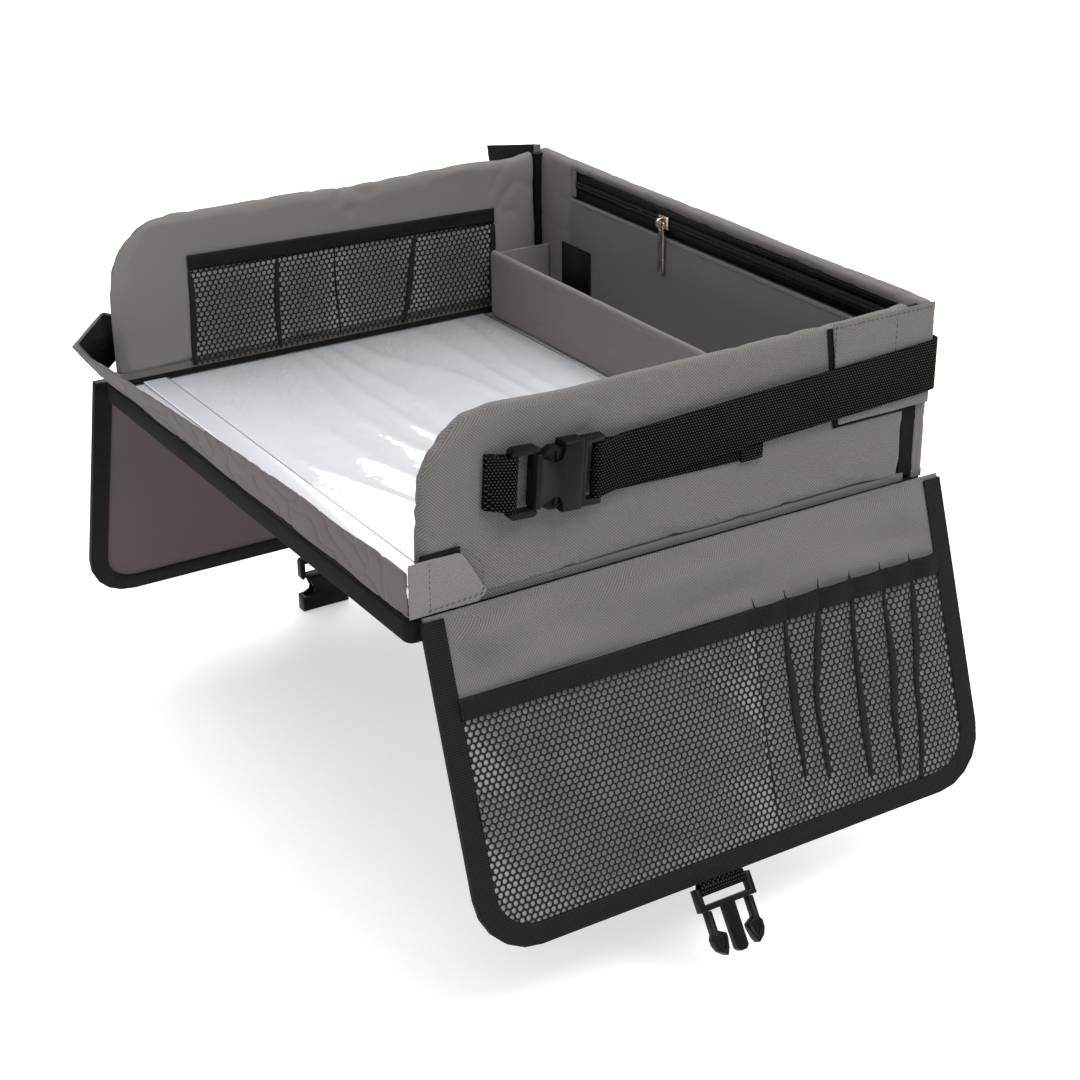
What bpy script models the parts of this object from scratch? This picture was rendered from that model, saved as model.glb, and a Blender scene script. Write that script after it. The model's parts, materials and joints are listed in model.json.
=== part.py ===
"""Lap tray for a child's car seat, with padded walls, a zip pocket and two hanging pocket flaps.

Metres, +Z up. The child sits at -Y, behind the low lip; the tall rear wall with the zip pocket
stands at +Y. The origin is the middle of the flat underside of the base.
"""

import math

import bmesh
import bpy
from mathutils import Matrix, Vector

# Fits shared by every piece
GAP = 0.0003
CUT_OVERRUN = 0.002
ARC_STEPS = 5
EDGE_STEPS = 2

# Base, walls and drawing board
WIDTH = 0.410
DEPTH = 0.340
BASE_HEIGHT = 0.015
BASE_CORNER = 0.006
BASE_EDGE = 0.002
RECESS_DEPTH = 0.0052
WALL_HEIGHT = 0.1085
WALL_THICKNESS = 0.0095
WALL_FRONT_RADIUS = 0.048
WALL_CORNER = 0.004
WALL_EDGE = 0.0032
RIGHT_WALL_SLIT = 0.0045
LEFT_WALL_SLIT = 0.0012
REAR_THICKNESS = 0.0095
REAR_CORNER = 0.003
REAR_EDGE = 0.0024
BOARD_THICKNESS = 0.0012
BOARD_CLEARANCE = 0.0015
BOARD_CORNER = 0.004
COVER_THICKNESS = 0.0005
HEM_THICKNESS = 0.0008
HEM_WIDTH = 0.016
HEM_FROM_FRONT = 0.018

# Zip pocket in the inner face of the rear wall
POCKET_LEFT = -0.160
POCKET_RIGHT = 0.186
POCKET_BOTTOM = 0.006
POCKET_TOP = 0.1018
POCKET_DEPTH = 0.0045
POCKET_PANEL_TOP = 0.0815
POCKET_PANEL_THICKNESS = 0.0012
ZIP_LINE = 0.0918
ZIP_TAPE_THICKNESS = 0.001
ZIP_TAPE_SETBACK = 0.0028
CHAIN_WIDTH = 0.0056
CHAIN_SPINE = 0.0020
CHAIN_THICKNESS = 0.0015
CHAIN_END_MARGIN = 0.004
TOOTH_PITCH = 0.0050
SLIDER_AT = -0.047
SLIDER_LENGTH = 0.0105
SLIDER_WALL = 0.0011
SLIDER_PLATE = 0.0012
ARCH_SPAN = 0.0062
ARCH_HEIGHT = 0.0036
ARCH_BAR = 0.0011
ARCH_WIDTH = 0.0022
PULL_LENGTH = 0.035
PULL_TOP_WIDTH = 0.0056
PULL_WIDTH = 0.0074
PULL_THICKNESS = 0.0012
PULL_EYE_WIDTH = 0.0034
PULL_EYE_HEIGHT = 0.0042
PULL_RIM = 0.0013

# Hook and loop patches and corner tabs
PATCH_THICKNESS = 0.0010
TAB_THICKNESS = 0.0015
TAB_EDGE = 0.0004
REAR_TAB_LENGTH = 0.0775
LEFT_TAB_LENGTH = 0.042
REAR_TAB_SLANT = 0.008
REAR_TAB_BOTTOM = 0.0475
REAR_TAB_SETBACK = 0.003
PATCH_MARGIN = 0.0020
REAR_PATCH_SETBACK = 0.020
REAR_LOOP_LEFT = -0.1690
REAR_LOOP_RIGHT = -0.1330
REAR_LOOP_TOP = 0.0480
LEFT_TAB_FLARE = math.radians(28.0)
LEFT_TAB_BEND = 0.0875
LEFT_TAB_COLUMNS = 6
LEFT_TAB_ROWS = 8

# Front lip and its end tabs
LIP_LEDGE = 0.0048
LIP_HEIGHT = 0.028
LIP_THICKNESS = 0.003
LIP_EDGE = 0.0012
LIP_LEAN_RIGHT = math.radians(3.0)
LIP_LEAN_LEFT = math.radians(36.0)
LIP_STATIONS = 10
LIP_TAB_TOP = 0.0325
LIP_TAB_TOP_REACH = 0.0315
LIP_TAB_REACH = 0.047
LIP_TAB_LOW = 0.0012
LIP_TAB_SHOULDER = 0.006
LEFT_TAB_SPLAY = math.radians(11.0)

# Divider between the drawing board and the rear compartment
COMPARTMENT_DEPTH = 0.0505
DIVIDER_THICKNESS = 0.0045
DIVIDER_HEIGHT = 0.0485
DIVIDER_LEFT = -0.187
DIVIDER_RIGHT = 0.190
DIVIDER_CORNER = 0.003
DIVIDER_EDGE = 0.0012
GUSSET_THICKNESS = 0.0015
GUSSET_HEIGHT = 0.0423
GUSSET_BOW = 0.0025
GUSSET_REAR_CLEARANCE = 0.0010

# Mesh pocket inside the left wall
NET_THICKNESS = 0.0008
NET_PITCH = 0.020
NET_STRAND = 0.0042
BAND_THICKNESS = 0.0012
SIDE_POCKET_START = 0.0555
SIDE_POCKET_TO_REAR = 0.0420
SIDE_POCKET_TOP_FRONT = 0.0775
SIDE_POCKET_TOP_REAR = 0.0725
SIDE_POCKET_BOTTOM = 0.0015
SIDE_BAND_HEIGHT = 0.0100
SIDE_POCKET_BAG = 0.0022

# Hanging pocket flaps
FLAP_OFFSET = 0.0026
FLAP_WIDTH = 0.347
FLAP_THICKNESS = 0.0022
FLAP_TOP_SETBACK = 0.0015
RIGHT_FLAP_START = 0.0015
RIGHT_FLAP_LENGTH = 0.1852
RIGHT_FLAP_TILT = math.radians(18.5)
LEFT_FLAP_START = -0.0110
LEFT_FLAP_LENGTH = 0.1905
LEFT_FLAP_TILT = math.radians(17.0)
FLAP_CORNER = 0.034
FLAP_EDGE = 0.0012
BINDING_WIDTH = 0.0125
BINDING_WALL = 0.0010
FLAP_BAND_TOP = 0.0446
FLAP_BAND_HEIGHT = 0.0118
FLAP_POCKET_BAG = 0.0026
PEN_POCKETS = 5
PEN_PLEAT = 0.0022
PEN_START_SHARE = 0.58

# Side release buckles: along runs in the direction of insertion, zero at the mouth
WEBBING_WIDTH = 0.030
WEBBING_THICKNESS = 0.0014
LOOP_RADIUS = 0.0030
BUCKLE_HALF = 0.0192
BUCKLE_EDGE = 0.0006
MALE_BASE = 0.0132
MALE_THICKNESS = 0.0060
BAR = 0.0030
BAR_THICKNESS = 0.0026
CROSSBAR = 0.0032
SLOT_HALF = 0.0154
GUIDE_HALF = 0.0039
GUIDE_REACH = 0.0268
PRONG_REACH = 0.0262
PRONG_THICKNESS = 0.0058
PRONG_ROOT_HALF = 0.0016
PRONG_AXIS = 0.0142
PRONG_SPAN = 0.0067
PRONG_SHOULDER = 0.0130
PRONG_RECESS = 0.0012
FEMALE_BODY = 0.0286
FEMALE_THICKNESS = 0.0105
FEMALE_WAIST = 0.0150
CAVITY_HALF = 0.0163
CAVITY_HEIGHT = 0.0068
CAVITY_DEPTH = 0.0275
FEMALE_FRAME = 0.0140
FEMALE_FRAME_THICKNESS = 0.0060

# Waist belt
BUCKLE_MOUTH = 0.0952
BUCKLE_LEVEL = 0.0618
BUCKLE_STANDOFF = 0.0062
BUCKLE_SLOPE = math.radians(-3.5)
BELT_STANDOFF = 0.0037
BELT_CORNER = 0.005
BELT_SETTLE = 0.0165
BELT_LEVEL_RIGHT = 0.0612
BELT_LEVEL_REAR = 0.0709
BELT_LEVEL_LEFT = 0.0690
BELT_SLOPE = math.radians(2.7)
BELT_LEFT_END = 0.045
BELT_LEFT_TAPER = 0.040
TAIL_END = 0.2165
TAIL_LEVEL = 0.0557
HEM_FOLD = 0.0138
ANCHOR_START = 0.0406
ANCHOR_LEVEL = 0.0668

# Buckles of the flaps
STRAP_SPREAD = 0.0013
RIGHT_STRAP_LENGTH = 0.0048
LEFT_STRAP_LENGTH = 0.018
RIGHT_BUCKLE_AT = 0.153
LEFT_BUCKLE_AT = 0.1755
RIGHT_BUCKLE_LIFT = math.radians(16.0)

# Places worked out from the sizes above
SEAM = BASE_HEIGHT
WALL_TOP = SEAM + WALL_HEIGHT
HALF_WIDTH = WIDTH / 2
FRONT = -DEPTH / 2
REAR = DEPTH / 2
BASE_TOP = SEAM - GAP
FLOOR = BASE_TOP - RECESS_DEPTH
BOARD_TOP = FLOOR + GAP + BOARD_THICKNESS
COVER_TOP = BOARD_TOP + GAP + COVER_THICKNESS
LIP_FACE = FRONT - LIP_LEDGE
INNER_HALF = HALF_WIDTH - WALL_THICKNESS
REAR_INNER = REAR - REAR_THICKNESS
TAB_INNER = HALF_WIDTH + GAP + PATCH_THICKNESS + GAP
TAB_MIDDLE = TAB_INNER + TAB_THICKNESS / 2
DIVIDER_FACE = REAR_INNER - COMPARTMENT_DEPTH
ZIP_FACE = REAR_INNER + ZIP_TAPE_SETBACK
CHAIN_FACE = ZIP_FACE - GAP - CHAIN_THICKNESS
MALE_BAR = -MALE_BASE + BAR / 2
FEMALE_END = GAP + FEMALE_BODY
FEMALE_BAR = FEMALE_END + FEMALE_FRAME - BAR / 2
LAYER = WEBBING_THICKNESS + GAP
NEAR_WALL = HALF_WIDTH + GAP + WEBBING_THICKNESS / 2

# Outlines as shares of the named sizes, one half, from the front of the piece to its back
FEMALE_ALONG_SHARES = (0.0, 0.44, 0.90, 1.0)
FEMALE_WAIST_SHARES = (0.0, 0.0, 1.0, 1.0)
WINDOW_ALONG_SHARES = (0.41, 0.43, 0.50, 0.60, 0.89, 0.95)
WINDOW_ACROSS_SHARES = (1.1, 0.73, 0.52, 0.48, 0.66, 1.1)
HEAD_OUTER_ALONG_SHARES = (0.0, 0.16, 0.45, 0.74, 1.0)
HEAD_OUTER_SHARES = (0.24, 0.44, 0.43, 0.16, -0.46)
HEAD_INNER_ALONG_SHARES = (0.98, 0.72, 0.30, 0.10, -0.10)
HEAD_INNER_SHARES = (-0.56, -0.80, -1.0, -0.98, -0.24)
RECESS_ALONG_SHARES = (0.22, 0.26, 0.76)
RECESS_ACROSS_SHARES = (-0.78, 0.16, -0.42)

FABRIC_GREY = (0.184, 0.171, 0.168)
FABRIC_INNER = (0.074, 0.066, 0.067)
WEBBING_BLACK = (0.017, 0.016, 0.014)


def material(name, colour, roughness, metallic=0.0, alpha=1.0):
    """Principled material, made once for each name."""
    found = bpy.data.materials.get(name)
    if found:
        return found
    made = bpy.data.materials.new(name)
    made.use_nodes = True
    shader = made.node_tree.nodes["Principled BSDF"]
    shader.inputs["Base Color"].default_value = (*colour, 1.0)
    shader.inputs["Roughness"].default_value = roughness
    shader.inputs["Metallic"].default_value = metallic
    shader.inputs["Alpha"].default_value = alpha
    made.diffuse_color = (*colour, alpha)
    return made


def grey_fabric():
    return material("grey_fabric", FABRIC_GREY, 0.85)


def inner_fabric():
    return material("inner_fabric", FABRIC_INNER, 0.85)


def black_fabric():
    return material("black_fabric", (0.012, 0.011, 0.010), 0.9)


def black_binding():
    return material("black_binding", (0.014, 0.013, 0.012), 0.85)


def black_mesh():
    return material("black_mesh", (0.020, 0.020, 0.020), 0.8)


def black_webbing():
    return material("black_webbing", WEBBING_BLACK, 0.8)


def black_plastic():
    return material("black_plastic", (0.020, 0.018, 0.016), 0.45)


def hook_and_loop():
    return material("hook_and_loop", (0.010, 0.010, 0.010), 0.95)


def white_board():
    return material("white_board", (0.75, 0.76, 0.80), 0.4)


def clear_vinyl():
    return material("clear_vinyl", (0.86, 0.88, 0.92), 0.08, 0.0, 0.35)


def zip_metal():
    return material("zip_metal", (0.62, 0.60, 0.56), 0.28, 1.0)


def on_plane(plane, u, v, w):
    """Point of an outline: u and v in the plane, w along its normal."""
    if plane == "yz":
        return Vector((w, u, v))
    if plane == "xz":
        return Vector((u, w, v))
    return Vector((u, v, w))


def rounded(corners, steps=ARC_STEPS):
    """Closed outline through (u, v, radius) corners, each turned into an arc."""
    outline = []
    count = len(corners)
    for index, (u, v, radius) in enumerate(corners):
        here = Vector((u, v))
        before = Vector(corners[index - 1][:2]) - here
        after = Vector(corners[(index + 1) % count][:2]) - here
        if radius <= 0:
            outline.append((u, v))
            continue
        before.normalize()
        after.normalize()
        half = before.angle(after) / 2
        bisector = (before + after).normalized()
        centre = here + bisector * (radius / math.sin(half))
        start = here + before * (radius / math.tan(half)) - centre
        end = here + after * (radius / math.tan(half)) - centre
        turn = start.angle_signed(end)
        for step in range(steps + 1):
            point = Matrix.Rotation(-turn * step / steps, 2) @ start + centre
            outline.append((point.x, point.y))
    return outline


def signed_area(outline):
    total = 0.0
    for (u0, v0), (u1, v1) in zip(outline, outline[1:] + outline[:1]):
        total += u0 * v1 - u1 * v0
    return total / 2


def inset(outline, distance):
    """The same outline moved inwards by a distance, corner by corner."""
    if distance == 0:
        return list(outline)
    side = 1.0 if signed_area(outline) > 0 else -1.0
    moved = []
    count = len(outline)
    for index in range(count):
        here = Vector(outline[index])
        back = (here - Vector(outline[index - 1])).normalized()
        ahead = (Vector(outline[(index + 1) % count]) - here).normalized()
        normal_back = Vector((-back.y, back.x)) * side
        normal_ahead = Vector((-ahead.y, ahead.x)) * side
        miter = (normal_back + normal_ahead).normalized()
        reach = distance / max(miter.dot(normal_back), 0.5)
        moved.append(tuple(here + miter * reach))
    return moved


def stacked(rings, close=False):
    """Closed body through rings of equal count, with a face on the first and the last."""
    bm = bmesh.new()
    rows = [[bm.verts.new(point) for point in ring] for ring in rings]
    pairs = list(zip(rows, rows[1:]))
    if close:
        pairs.append((rows[-1], rows[0]))
    for lower, upper in pairs:
        for index in range(len(lower)):
            following = (index + 1) % len(lower)
            bm.faces.new((lower[index], lower[following], upper[following], upper[index]))
    if not close:
        bm.faces.new(rows[0])
        bm.faces.new(rows[-1])
    bmesh.ops.recalc_face_normals(bm, faces=bm.faces)
    return bm


def panel(outline, low, high, plane, edge=0.0, steps=EDGE_STEPS):
    """Plate between two heights with rounded rims, like a padded or bound panel."""
    levels = []
    if edge == 0:
        levels = [(0.0, low), (0.0, high)]
    else:
        for step in range(steps + 1):
            angle = math.pi / 2 * step / steps
            levels.append((edge * (1 - math.sin(angle)), low + edge * (1 - math.cos(angle))))
        for step in range(steps, -1, -1):
            angle = math.pi / 2 * step / steps
            levels.append((edge * (1 - math.sin(angle)), high - edge * (1 - math.cos(angle))))
    rings = []
    for distance, level in levels:
        rings.append([on_plane(plane, u, v, level) for u, v in inset(outline, distance)])
    return stacked(rings)


def sweep(path, section, plane, shifts=None, close=False):
    """Section carried along a flat path: a across the path, b along the plane's normal."""
    rings = []
    count = len(path)
    for index, point in enumerate(path):
        here = Vector(point)
        if close or 0 < index < count - 1:
            back = (here - Vector(path[index - 1])).normalized()
            ahead = (Vector(path[(index + 1) % count]) - here).normalized()
        elif index == 0:
            ahead = (Vector(path[1]) - here).normalized()
            back = ahead
        else:
            back = (here - Vector(path[index - 1])).normalized()
            ahead = back
        normal_back = Vector((-back.y, back.x))
        miter = (normal_back + Vector((-ahead.y, ahead.x))).normalized()
        stretch = 1 / miter.dot(normal_back)
        shift = shifts[index] if shifts else 0.0
        ring = []
        for a, b in section:
            side = here + miter * (a * stretch)
            ring.append(on_plane(plane, side.x, side.y, b + shift))
        rings.append(ring)
    return stacked(rings, close)


def ribbon(route):
    """Webbing along a route of (middle point, direction across the width), turned at each bend."""
    rings = []
    last = len(route) - 1
    for index, (here, across) in enumerate(route):
        back = (here - route[max(index - 1, 0)][0]).normalized()
        ahead = (route[min(index + 1, last)][0] - here).normalized()
        if index == 0:
            back = ahead
        if index == last:
            ahead = back
        normal_back = across.cross(back).normalized()
        miter = (normal_back + across.cross(ahead).normalized()).normalized()
        out = miter * (WEBBING_THICKNESS / 2 / miter.dot(normal_back))
        side = across * (WEBBING_WIDTH / 2)
        rings.append([here - out - side, here + out - side, here + out + side, here - out + side])
    return stacked(rings)


def sheet(surface, columns, rows, thickness, normal):
    """Thin closed solid on a surface(s, t), s and t from 0 to 1, thickened along a normal."""
    bm = bmesh.new()
    half = Vector(normal).normalized() * (thickness / 2)
    layers = []
    for side in (-1, 1):
        grid = []
        for column in range(columns + 1):
            line = []
            for row in range(rows + 1):
                line.append(bm.verts.new(surface(column / columns, row / rows) + half * side))
            grid.append(line)
        layers.append(grid)
    for grid in layers:
        for column in range(columns):
            for row in range(rows):
                bm.faces.new((grid[column][row], grid[column + 1][row],
                              grid[column + 1][row + 1], grid[column][row + 1]))
    border = [(column, 0) for column in range(columns)]
    border += [(columns, row) for row in range(rows)]
    border += [(column, rows) for column in range(columns, 0, -1)]
    border += [(0, row) for row in range(rows, 0, -1)]
    for (c0, r0), (c1, r1) in zip(border, border[1:] + border[:1]):
        bm.faces.new((layers[0][c0][r0], layers[0][c1][r1], layers[1][c1][r1], layers[1][c0][r0]))
    bmesh.ops.recalc_face_normals(bm, faces=bm.faces)
    return bm


def hexagon_centres(width, height, corner):
    """Centres of the gaps of a net: rows half a pitch apart, clear of the rim and its corners."""
    row_pitch = NET_PITCH * math.sqrt(3) / 2
    reach = (NET_PITCH - NET_STRAND) / math.sqrt(3)
    rows = int((height - NET_STRAND - reach * 2) / row_pitch) + 1
    start = (height - (rows - 1) * row_pitch) / 2
    columns = int((width - NET_STRAND) / NET_PITCH)
    centres = []
    for row in range(rows):
        number = columns - row % 2
        left = (width - (number - 1) * NET_PITCH) / 2
        v = start + row * row_pitch
        for column in range(number):
            u = left + column * NET_PITCH
            across = max(0.0, corner - min(u, width - u))
            down = max(0.0, corner - v)
            if math.hypot(across, down) + reach + NET_STRAND / 2 <= corner or across * down == 0:
                centres.append((u, v))
    return centres


def net(width, height, corner, place):
    """Flat net with six-sided gaps; place(u, v, w) puts its points where the pocket is."""
    bm = bmesh.new()
    reach = (NET_PITCH - NET_STRAND) / math.sqrt(3)
    loops = [rounded([(0.0, 0.0, corner), (width, 0.0, corner), (width, height, 0.0),
                      (0.0, height, 0.0)])]
    for u, v in hexagon_centres(width, height, corner):
        loop = []
        for turn in range(6):
            angle = math.pi / 6 + turn * math.pi / 3
            loop.append((u + reach * math.cos(angle), v + reach * math.sin(angle)))
        loops.append(loop)
    edges = []
    for loop in loops:
        verts = [bm.verts.new((u, v, 0.0)) for u, v in loop]
        for first, second in zip(verts, verts[1:] + verts[:1]):
            edges.append(bm.edges.new((first, second)))
    bmesh.ops.triangle_fill(bm, use_beauty=True, use_dissolve=False, edges=edges)
    raised = bmesh.ops.extrude_face_region(bm, geom=bm.faces[:])
    for item in raised["geom"]:
        if isinstance(item, bmesh.types.BMVert):
            item.co.z += NET_THICKNESS
    for vert in bm.verts:
        vert.co = place(vert.co.x, vert.co.y, vert.co.z)
    bmesh.ops.recalc_face_normals(bm, faces=bm.faces)
    return bm


def new_object(name, bm, finish, parent=None):
    mesh = bpy.data.meshes.new(name)
    bm.to_mesh(mesh)
    bm.free()
    mesh.materials.append(finish)
    mesh.shade_smooth()
    mesh.set_sharp_from_angle(angle=math.radians(35))
    made = bpy.data.objects.new(name, mesh)
    bpy.context.collection.objects.link(made)
    made.parent = parent
    return made


def pivot(name, location, parent=None, columns=None):
    """Empty on a joint's axis; columns are its own X, Y and Z directions in the parent."""
    made = bpy.data.objects.new(name, None)
    bpy.context.collection.objects.link(made)
    made.parent = parent
    turn = Matrix.Identity(3)
    if columns:
        turn = Matrix(columns).transposed()
    made.matrix_local = Matrix.Translation(location) @ turn.to_4x4()
    return made


def shape(target, name, bm, operation):
    """Boolean with a hidden helper that lives in the same place as its target."""
    helper = new_object(name, bm, target.data.materials[0], target.parent)
    helper.matrix_local = target.matrix_local
    helper.hide_render = True
    helper.display_type = "WIRE"
    change = target.modifiers.new(name, "BOOLEAN")
    change.object = helper
    change.operation = operation
    change.solver = "EXACT"


def rectangle(u0, u1, v0, v1):
    return [(u0, v0), (u1, v0), (u1, v1), (u0, v1)]


def rounded_rectangle(u0, u1, v0, v1, radius):
    return rounded([(u0, v0, radius), (u1, v0, radius), (u1, v1, radius), (u0, v1, radius)])


def arc(centre, radius, start, end, steps):
    """Points of an arc between two angles in radians."""
    points = []
    for step in range(steps + 1):
        angle = start + (end - start) * step / steps
        points.append((centre[0] + radius * math.cos(angle), centre[1] + radius * math.sin(angle)))
    return points


def base_board():
    """Stiff board in black cloth, with a shallow recess that holds the drawing board."""
    outer = rounded_rectangle(-HALF_WIDTH, HALF_WIDTH, LIP_FACE, REAR, BASE_CORNER)
    inner = rounded_rectangle(-INNER_HALF, INNER_HALF, FRONT, REAR_INNER, BASE_CORNER)
    rings = [
        [on_plane("xy", u, v, 0.0) for u, v in inset(outer, BASE_EDGE)],
        [on_plane("xy", u, v, BASE_EDGE) for u, v in outer],
        [on_plane("xy", u, v, BASE_TOP) for u, v in outer],
        [on_plane("xy", u, v, BASE_TOP) for u, v in inner],
        [on_plane("xy", u, v, FLOOR) for u, v in inner],
    ]
    new_object("base_board", stacked(rings), black_fabric())


def drawing_surface():
    """White board, the clear vinyl sheet over it and the welded hem along its front."""
    half = INNER_HALF - BOARD_CLEARANCE
    front = FRONT + BOARD_CLEARANCE
    rear = REAR_INNER - BOARD_CLEARANCE
    outline = rounded_rectangle(-half, half, front, rear, BOARD_CORNER)
    new_object("drawing_board", panel(outline, FLOOR + GAP, BOARD_TOP, "xy"), white_board())
    cover_rear = DIVIDER_FACE - BOARD_CLEARANCE
    cover = rounded_rectangle(-half, half, front, cover_rear, BOARD_CORNER)
    new_object("clear_cover", panel(cover, BOARD_TOP + GAP, COVER_TOP, "xy"), clear_vinyl())
    hem_front = FRONT + HEM_FROM_FRONT
    hem = rounded_rectangle(-half, half, hem_front, hem_front + HEM_WIDTH, HEM_THICKNESS)
    low = COVER_TOP + GAP
    new_object("cover_hem", panel(hem, low, low + HEM_THICKNESS, "xy"), white_board())


def side_wall(name, side, slit):
    """Padded side wall with a large round front corner."""
    rear = REAR_INNER - slit
    outline = rounded([
        (FRONT, SEAM, WALL_CORNER),
        (rear, SEAM, WALL_CORNER),
        (rear, WALL_TOP, WALL_CORNER),
        (FRONT, WALL_TOP, WALL_FRONT_RADIUS),
    ])
    low = INNER_HALF if side > 0 else -HALF_WIDTH
    bm = panel(outline, low, low + WALL_THICKNESS, "yz", WALL_EDGE)
    new_object(name, bm, grey_fabric())


def rear_wall():
    """Padded rear wall, cut back on its inner face for the zip pocket."""
    outline = rounded_rectangle(-HALF_WIDTH, HALF_WIDTH, SEAM, WALL_TOP, REAR_CORNER)
    wall = new_object("rear_wall", panel(outline, REAR_INNER, REAR, "xz", REAR_EDGE), grey_fabric())
    pocket = rectangle(POCKET_LEFT, POCKET_RIGHT, SEAM + POCKET_BOTTOM, SEAM + POCKET_TOP)
    cutter = panel(pocket, REAR_INNER - CUT_OVERRUN, REAR_INNER + POCKET_DEPTH, "xz")
    shape(wall, "rear_wall_pocket_cut", cutter, "DIFFERENCE")


def zip_pocket():
    """Front panel of the zip pocket, the two tapes and the closed chain between them."""
    left = POCKET_LEFT + GAP
    right = POCKET_RIGHT - GAP
    front = REAR_INNER + GAP
    low = SEAM + POCKET_BOTTOM + GAP
    line = SEAM + ZIP_LINE
    cloth = rectangle(left, right, low, SEAM + POCKET_PANEL_TOP)
    new_object("rear_pocket_panel", panel(cloth, front, front + POCKET_PANEL_THICKNESS, "xz"),
               inner_fabric())
    rear = ZIP_FACE + ZIP_TAPE_THICKNESS
    lower = rectangle(left, right, SEAM + POCKET_PANEL_TOP + GAP, line - GAP / 2)
    new_object("zip_tape_lower", panel(lower, ZIP_FACE, rear, "xz"), black_fabric())
    upper = rectangle(left, right, line + GAP / 2, SEAM + POCKET_TOP - GAP)
    new_object("zip_tape_upper", panel(upper, ZIP_FACE, rear, "xz"), black_fabric())
    new_object("zip_chain", zip_chain(left + CHAIN_END_MARGIN, right - CHAIN_END_MARGIN, line),
               black_plastic())


def zip_chain(left, right, line):
    """Coil teeth as a comb on both sides of a narrow spine."""
    count = int((right - left) / TOOTH_PITCH)
    pitch = (right - left) / count
    upper = []
    for tooth in range(count):
        start = left + tooth * pitch
        upper.append((start, line + CHAIN_SPINE / 2))
        upper.append((start + pitch / 4, line + CHAIN_WIDTH / 2))
        upper.append((start + pitch * 3 / 4, line + CHAIN_WIDTH / 2))
    upper.append((right, line + CHAIN_SPINE / 2))
    lower = [(u, line * 2 - v) for u, v in reversed(upper)]
    return panel(upper + lower, CHAIN_FACE, ZIP_FACE - GAP, "xz")


def zip_slider():
    """Slider body over the chain with an arch for the pull, and the long flat pull."""
    body = pivot("zip_slider_pivot", (SLIDER_AT, CHAIN_FACE, SEAM + ZIP_LINE))
    inner = CHAIN_WIDTH / 2 + GAP
    outer = inner + SLIDER_WALL
    top = -GAP - SLIDER_PLATE
    foot = CHAIN_THICKNESS
    channel = [
        (top, -outer), (foot, -outer), (foot, -inner), (-GAP, -inner),
        (-GAP, inner), (foot, inner), (foot, outer), (top, outer),
    ]
    half = SLIDER_LENGTH / 2
    slider = new_object("zip_slider", panel(channel, -half, half, "yz"), zip_metal(), body)
    path = [(top + ARCH_BAR / 2, -ARCH_SPAN / 2)]
    path += arc((top - ARCH_HEIGHT + ARCH_SPAN / 4, 0.0), ARCH_SPAN / 2,
                math.pi * 3 / 2, math.pi / 2, ARC_STEPS)
    path += [(top + ARCH_BAR / 2, ARCH_SPAN / 2)]
    section = rectangle(-ARCH_BAR / 2, ARCH_BAR / 2, -ARCH_WIDTH / 2, ARCH_WIDTH / 2)
    shape(slider, "zip_slider_arch", sweep(path, section, "yz"), "UNION")
    hang = pivot("zip_pull_pivot", (0.0, top - PULL_RIM, 0.0), body)
    outline = rounded([
        (-PULL_TOP_WIDTH / 2, PULL_RIM / 2, PULL_RIM),
        (PULL_TOP_WIDTH / 2, PULL_RIM / 2, PULL_RIM),
        (PULL_WIDTH / 2, -PULL_LENGTH, PULL_WIDTH * 2 / 5),
        (-PULL_WIDTH / 2, -PULL_LENGTH, PULL_WIDTH * 2 / 5),
    ])
    bm = panel(outline, -PULL_THICKNESS / 2, PULL_THICKNESS / 2, "xz")
    pull = new_object("zip_pull", bm, zip_metal(), hang)
    eye_top = -PULL_RIM / 2
    eye = rectangle(-PULL_EYE_WIDTH / 2, PULL_EYE_WIDTH / 2, eye_top - PULL_EYE_HEIGHT, eye_top)
    shape(pull, "zip_pull_eye", panel(eye, -PULL_THICKNESS, PULL_THICKNESS, "xz"), "DIFFERENCE")


def rear_loop_patch():
    """Loop patch on the rear wall for the divider's end."""
    low = SEAM + POCKET_BOTTOM + GAP
    outline = rectangle(REAR_LOOP_LEFT, REAR_LOOP_RIGHT, low, SEAM + REAR_LOOP_TOP)
    rear = REAR_INNER - GAP
    new_object("rear_loop_patch", panel(outline, rear - PATCH_THICKNESS, rear, "xz"), hook_and_loop())


def rear_tab_outline(margin):
    """Corner tab of the rear wall: its free end leans forward at the top."""
    free = REAR - REAR_TAB_LENGTH
    low = SEAM + REAR_TAB_BOTTOM
    return [
        (free + REAR_TAB_SLANT - margin, low - margin),
        (REAR - REAR_TAB_SETBACK, low - margin),
        (REAR - REAR_TAB_SETBACK, WALL_TOP),
        (free - margin, WALL_TOP),
    ]


def rear_tab_right():
    """Corner tab stuck to the right wall, with the loop patch under it."""
    outline = rear_tab_outline(0.0)
    bm = panel(outline, TAB_INNER, TAB_INNER + TAB_THICKNESS, "yz", TAB_EDGE, 1)
    new_object("rear_tab_right", bm, grey_fabric())
    patch = [(min(u, REAR - REAR_PATCH_SETBACK), min(v, WALL_TOP - WALL_EDGE))
             for u, v in rear_tab_outline(PATCH_MARGIN)]
    low = HALF_WIDTH + GAP
    new_object("wall_patch_right_rear", panel(patch, low, low + PATCH_THICKNESS, "yz"), hook_and_loop())


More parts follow.
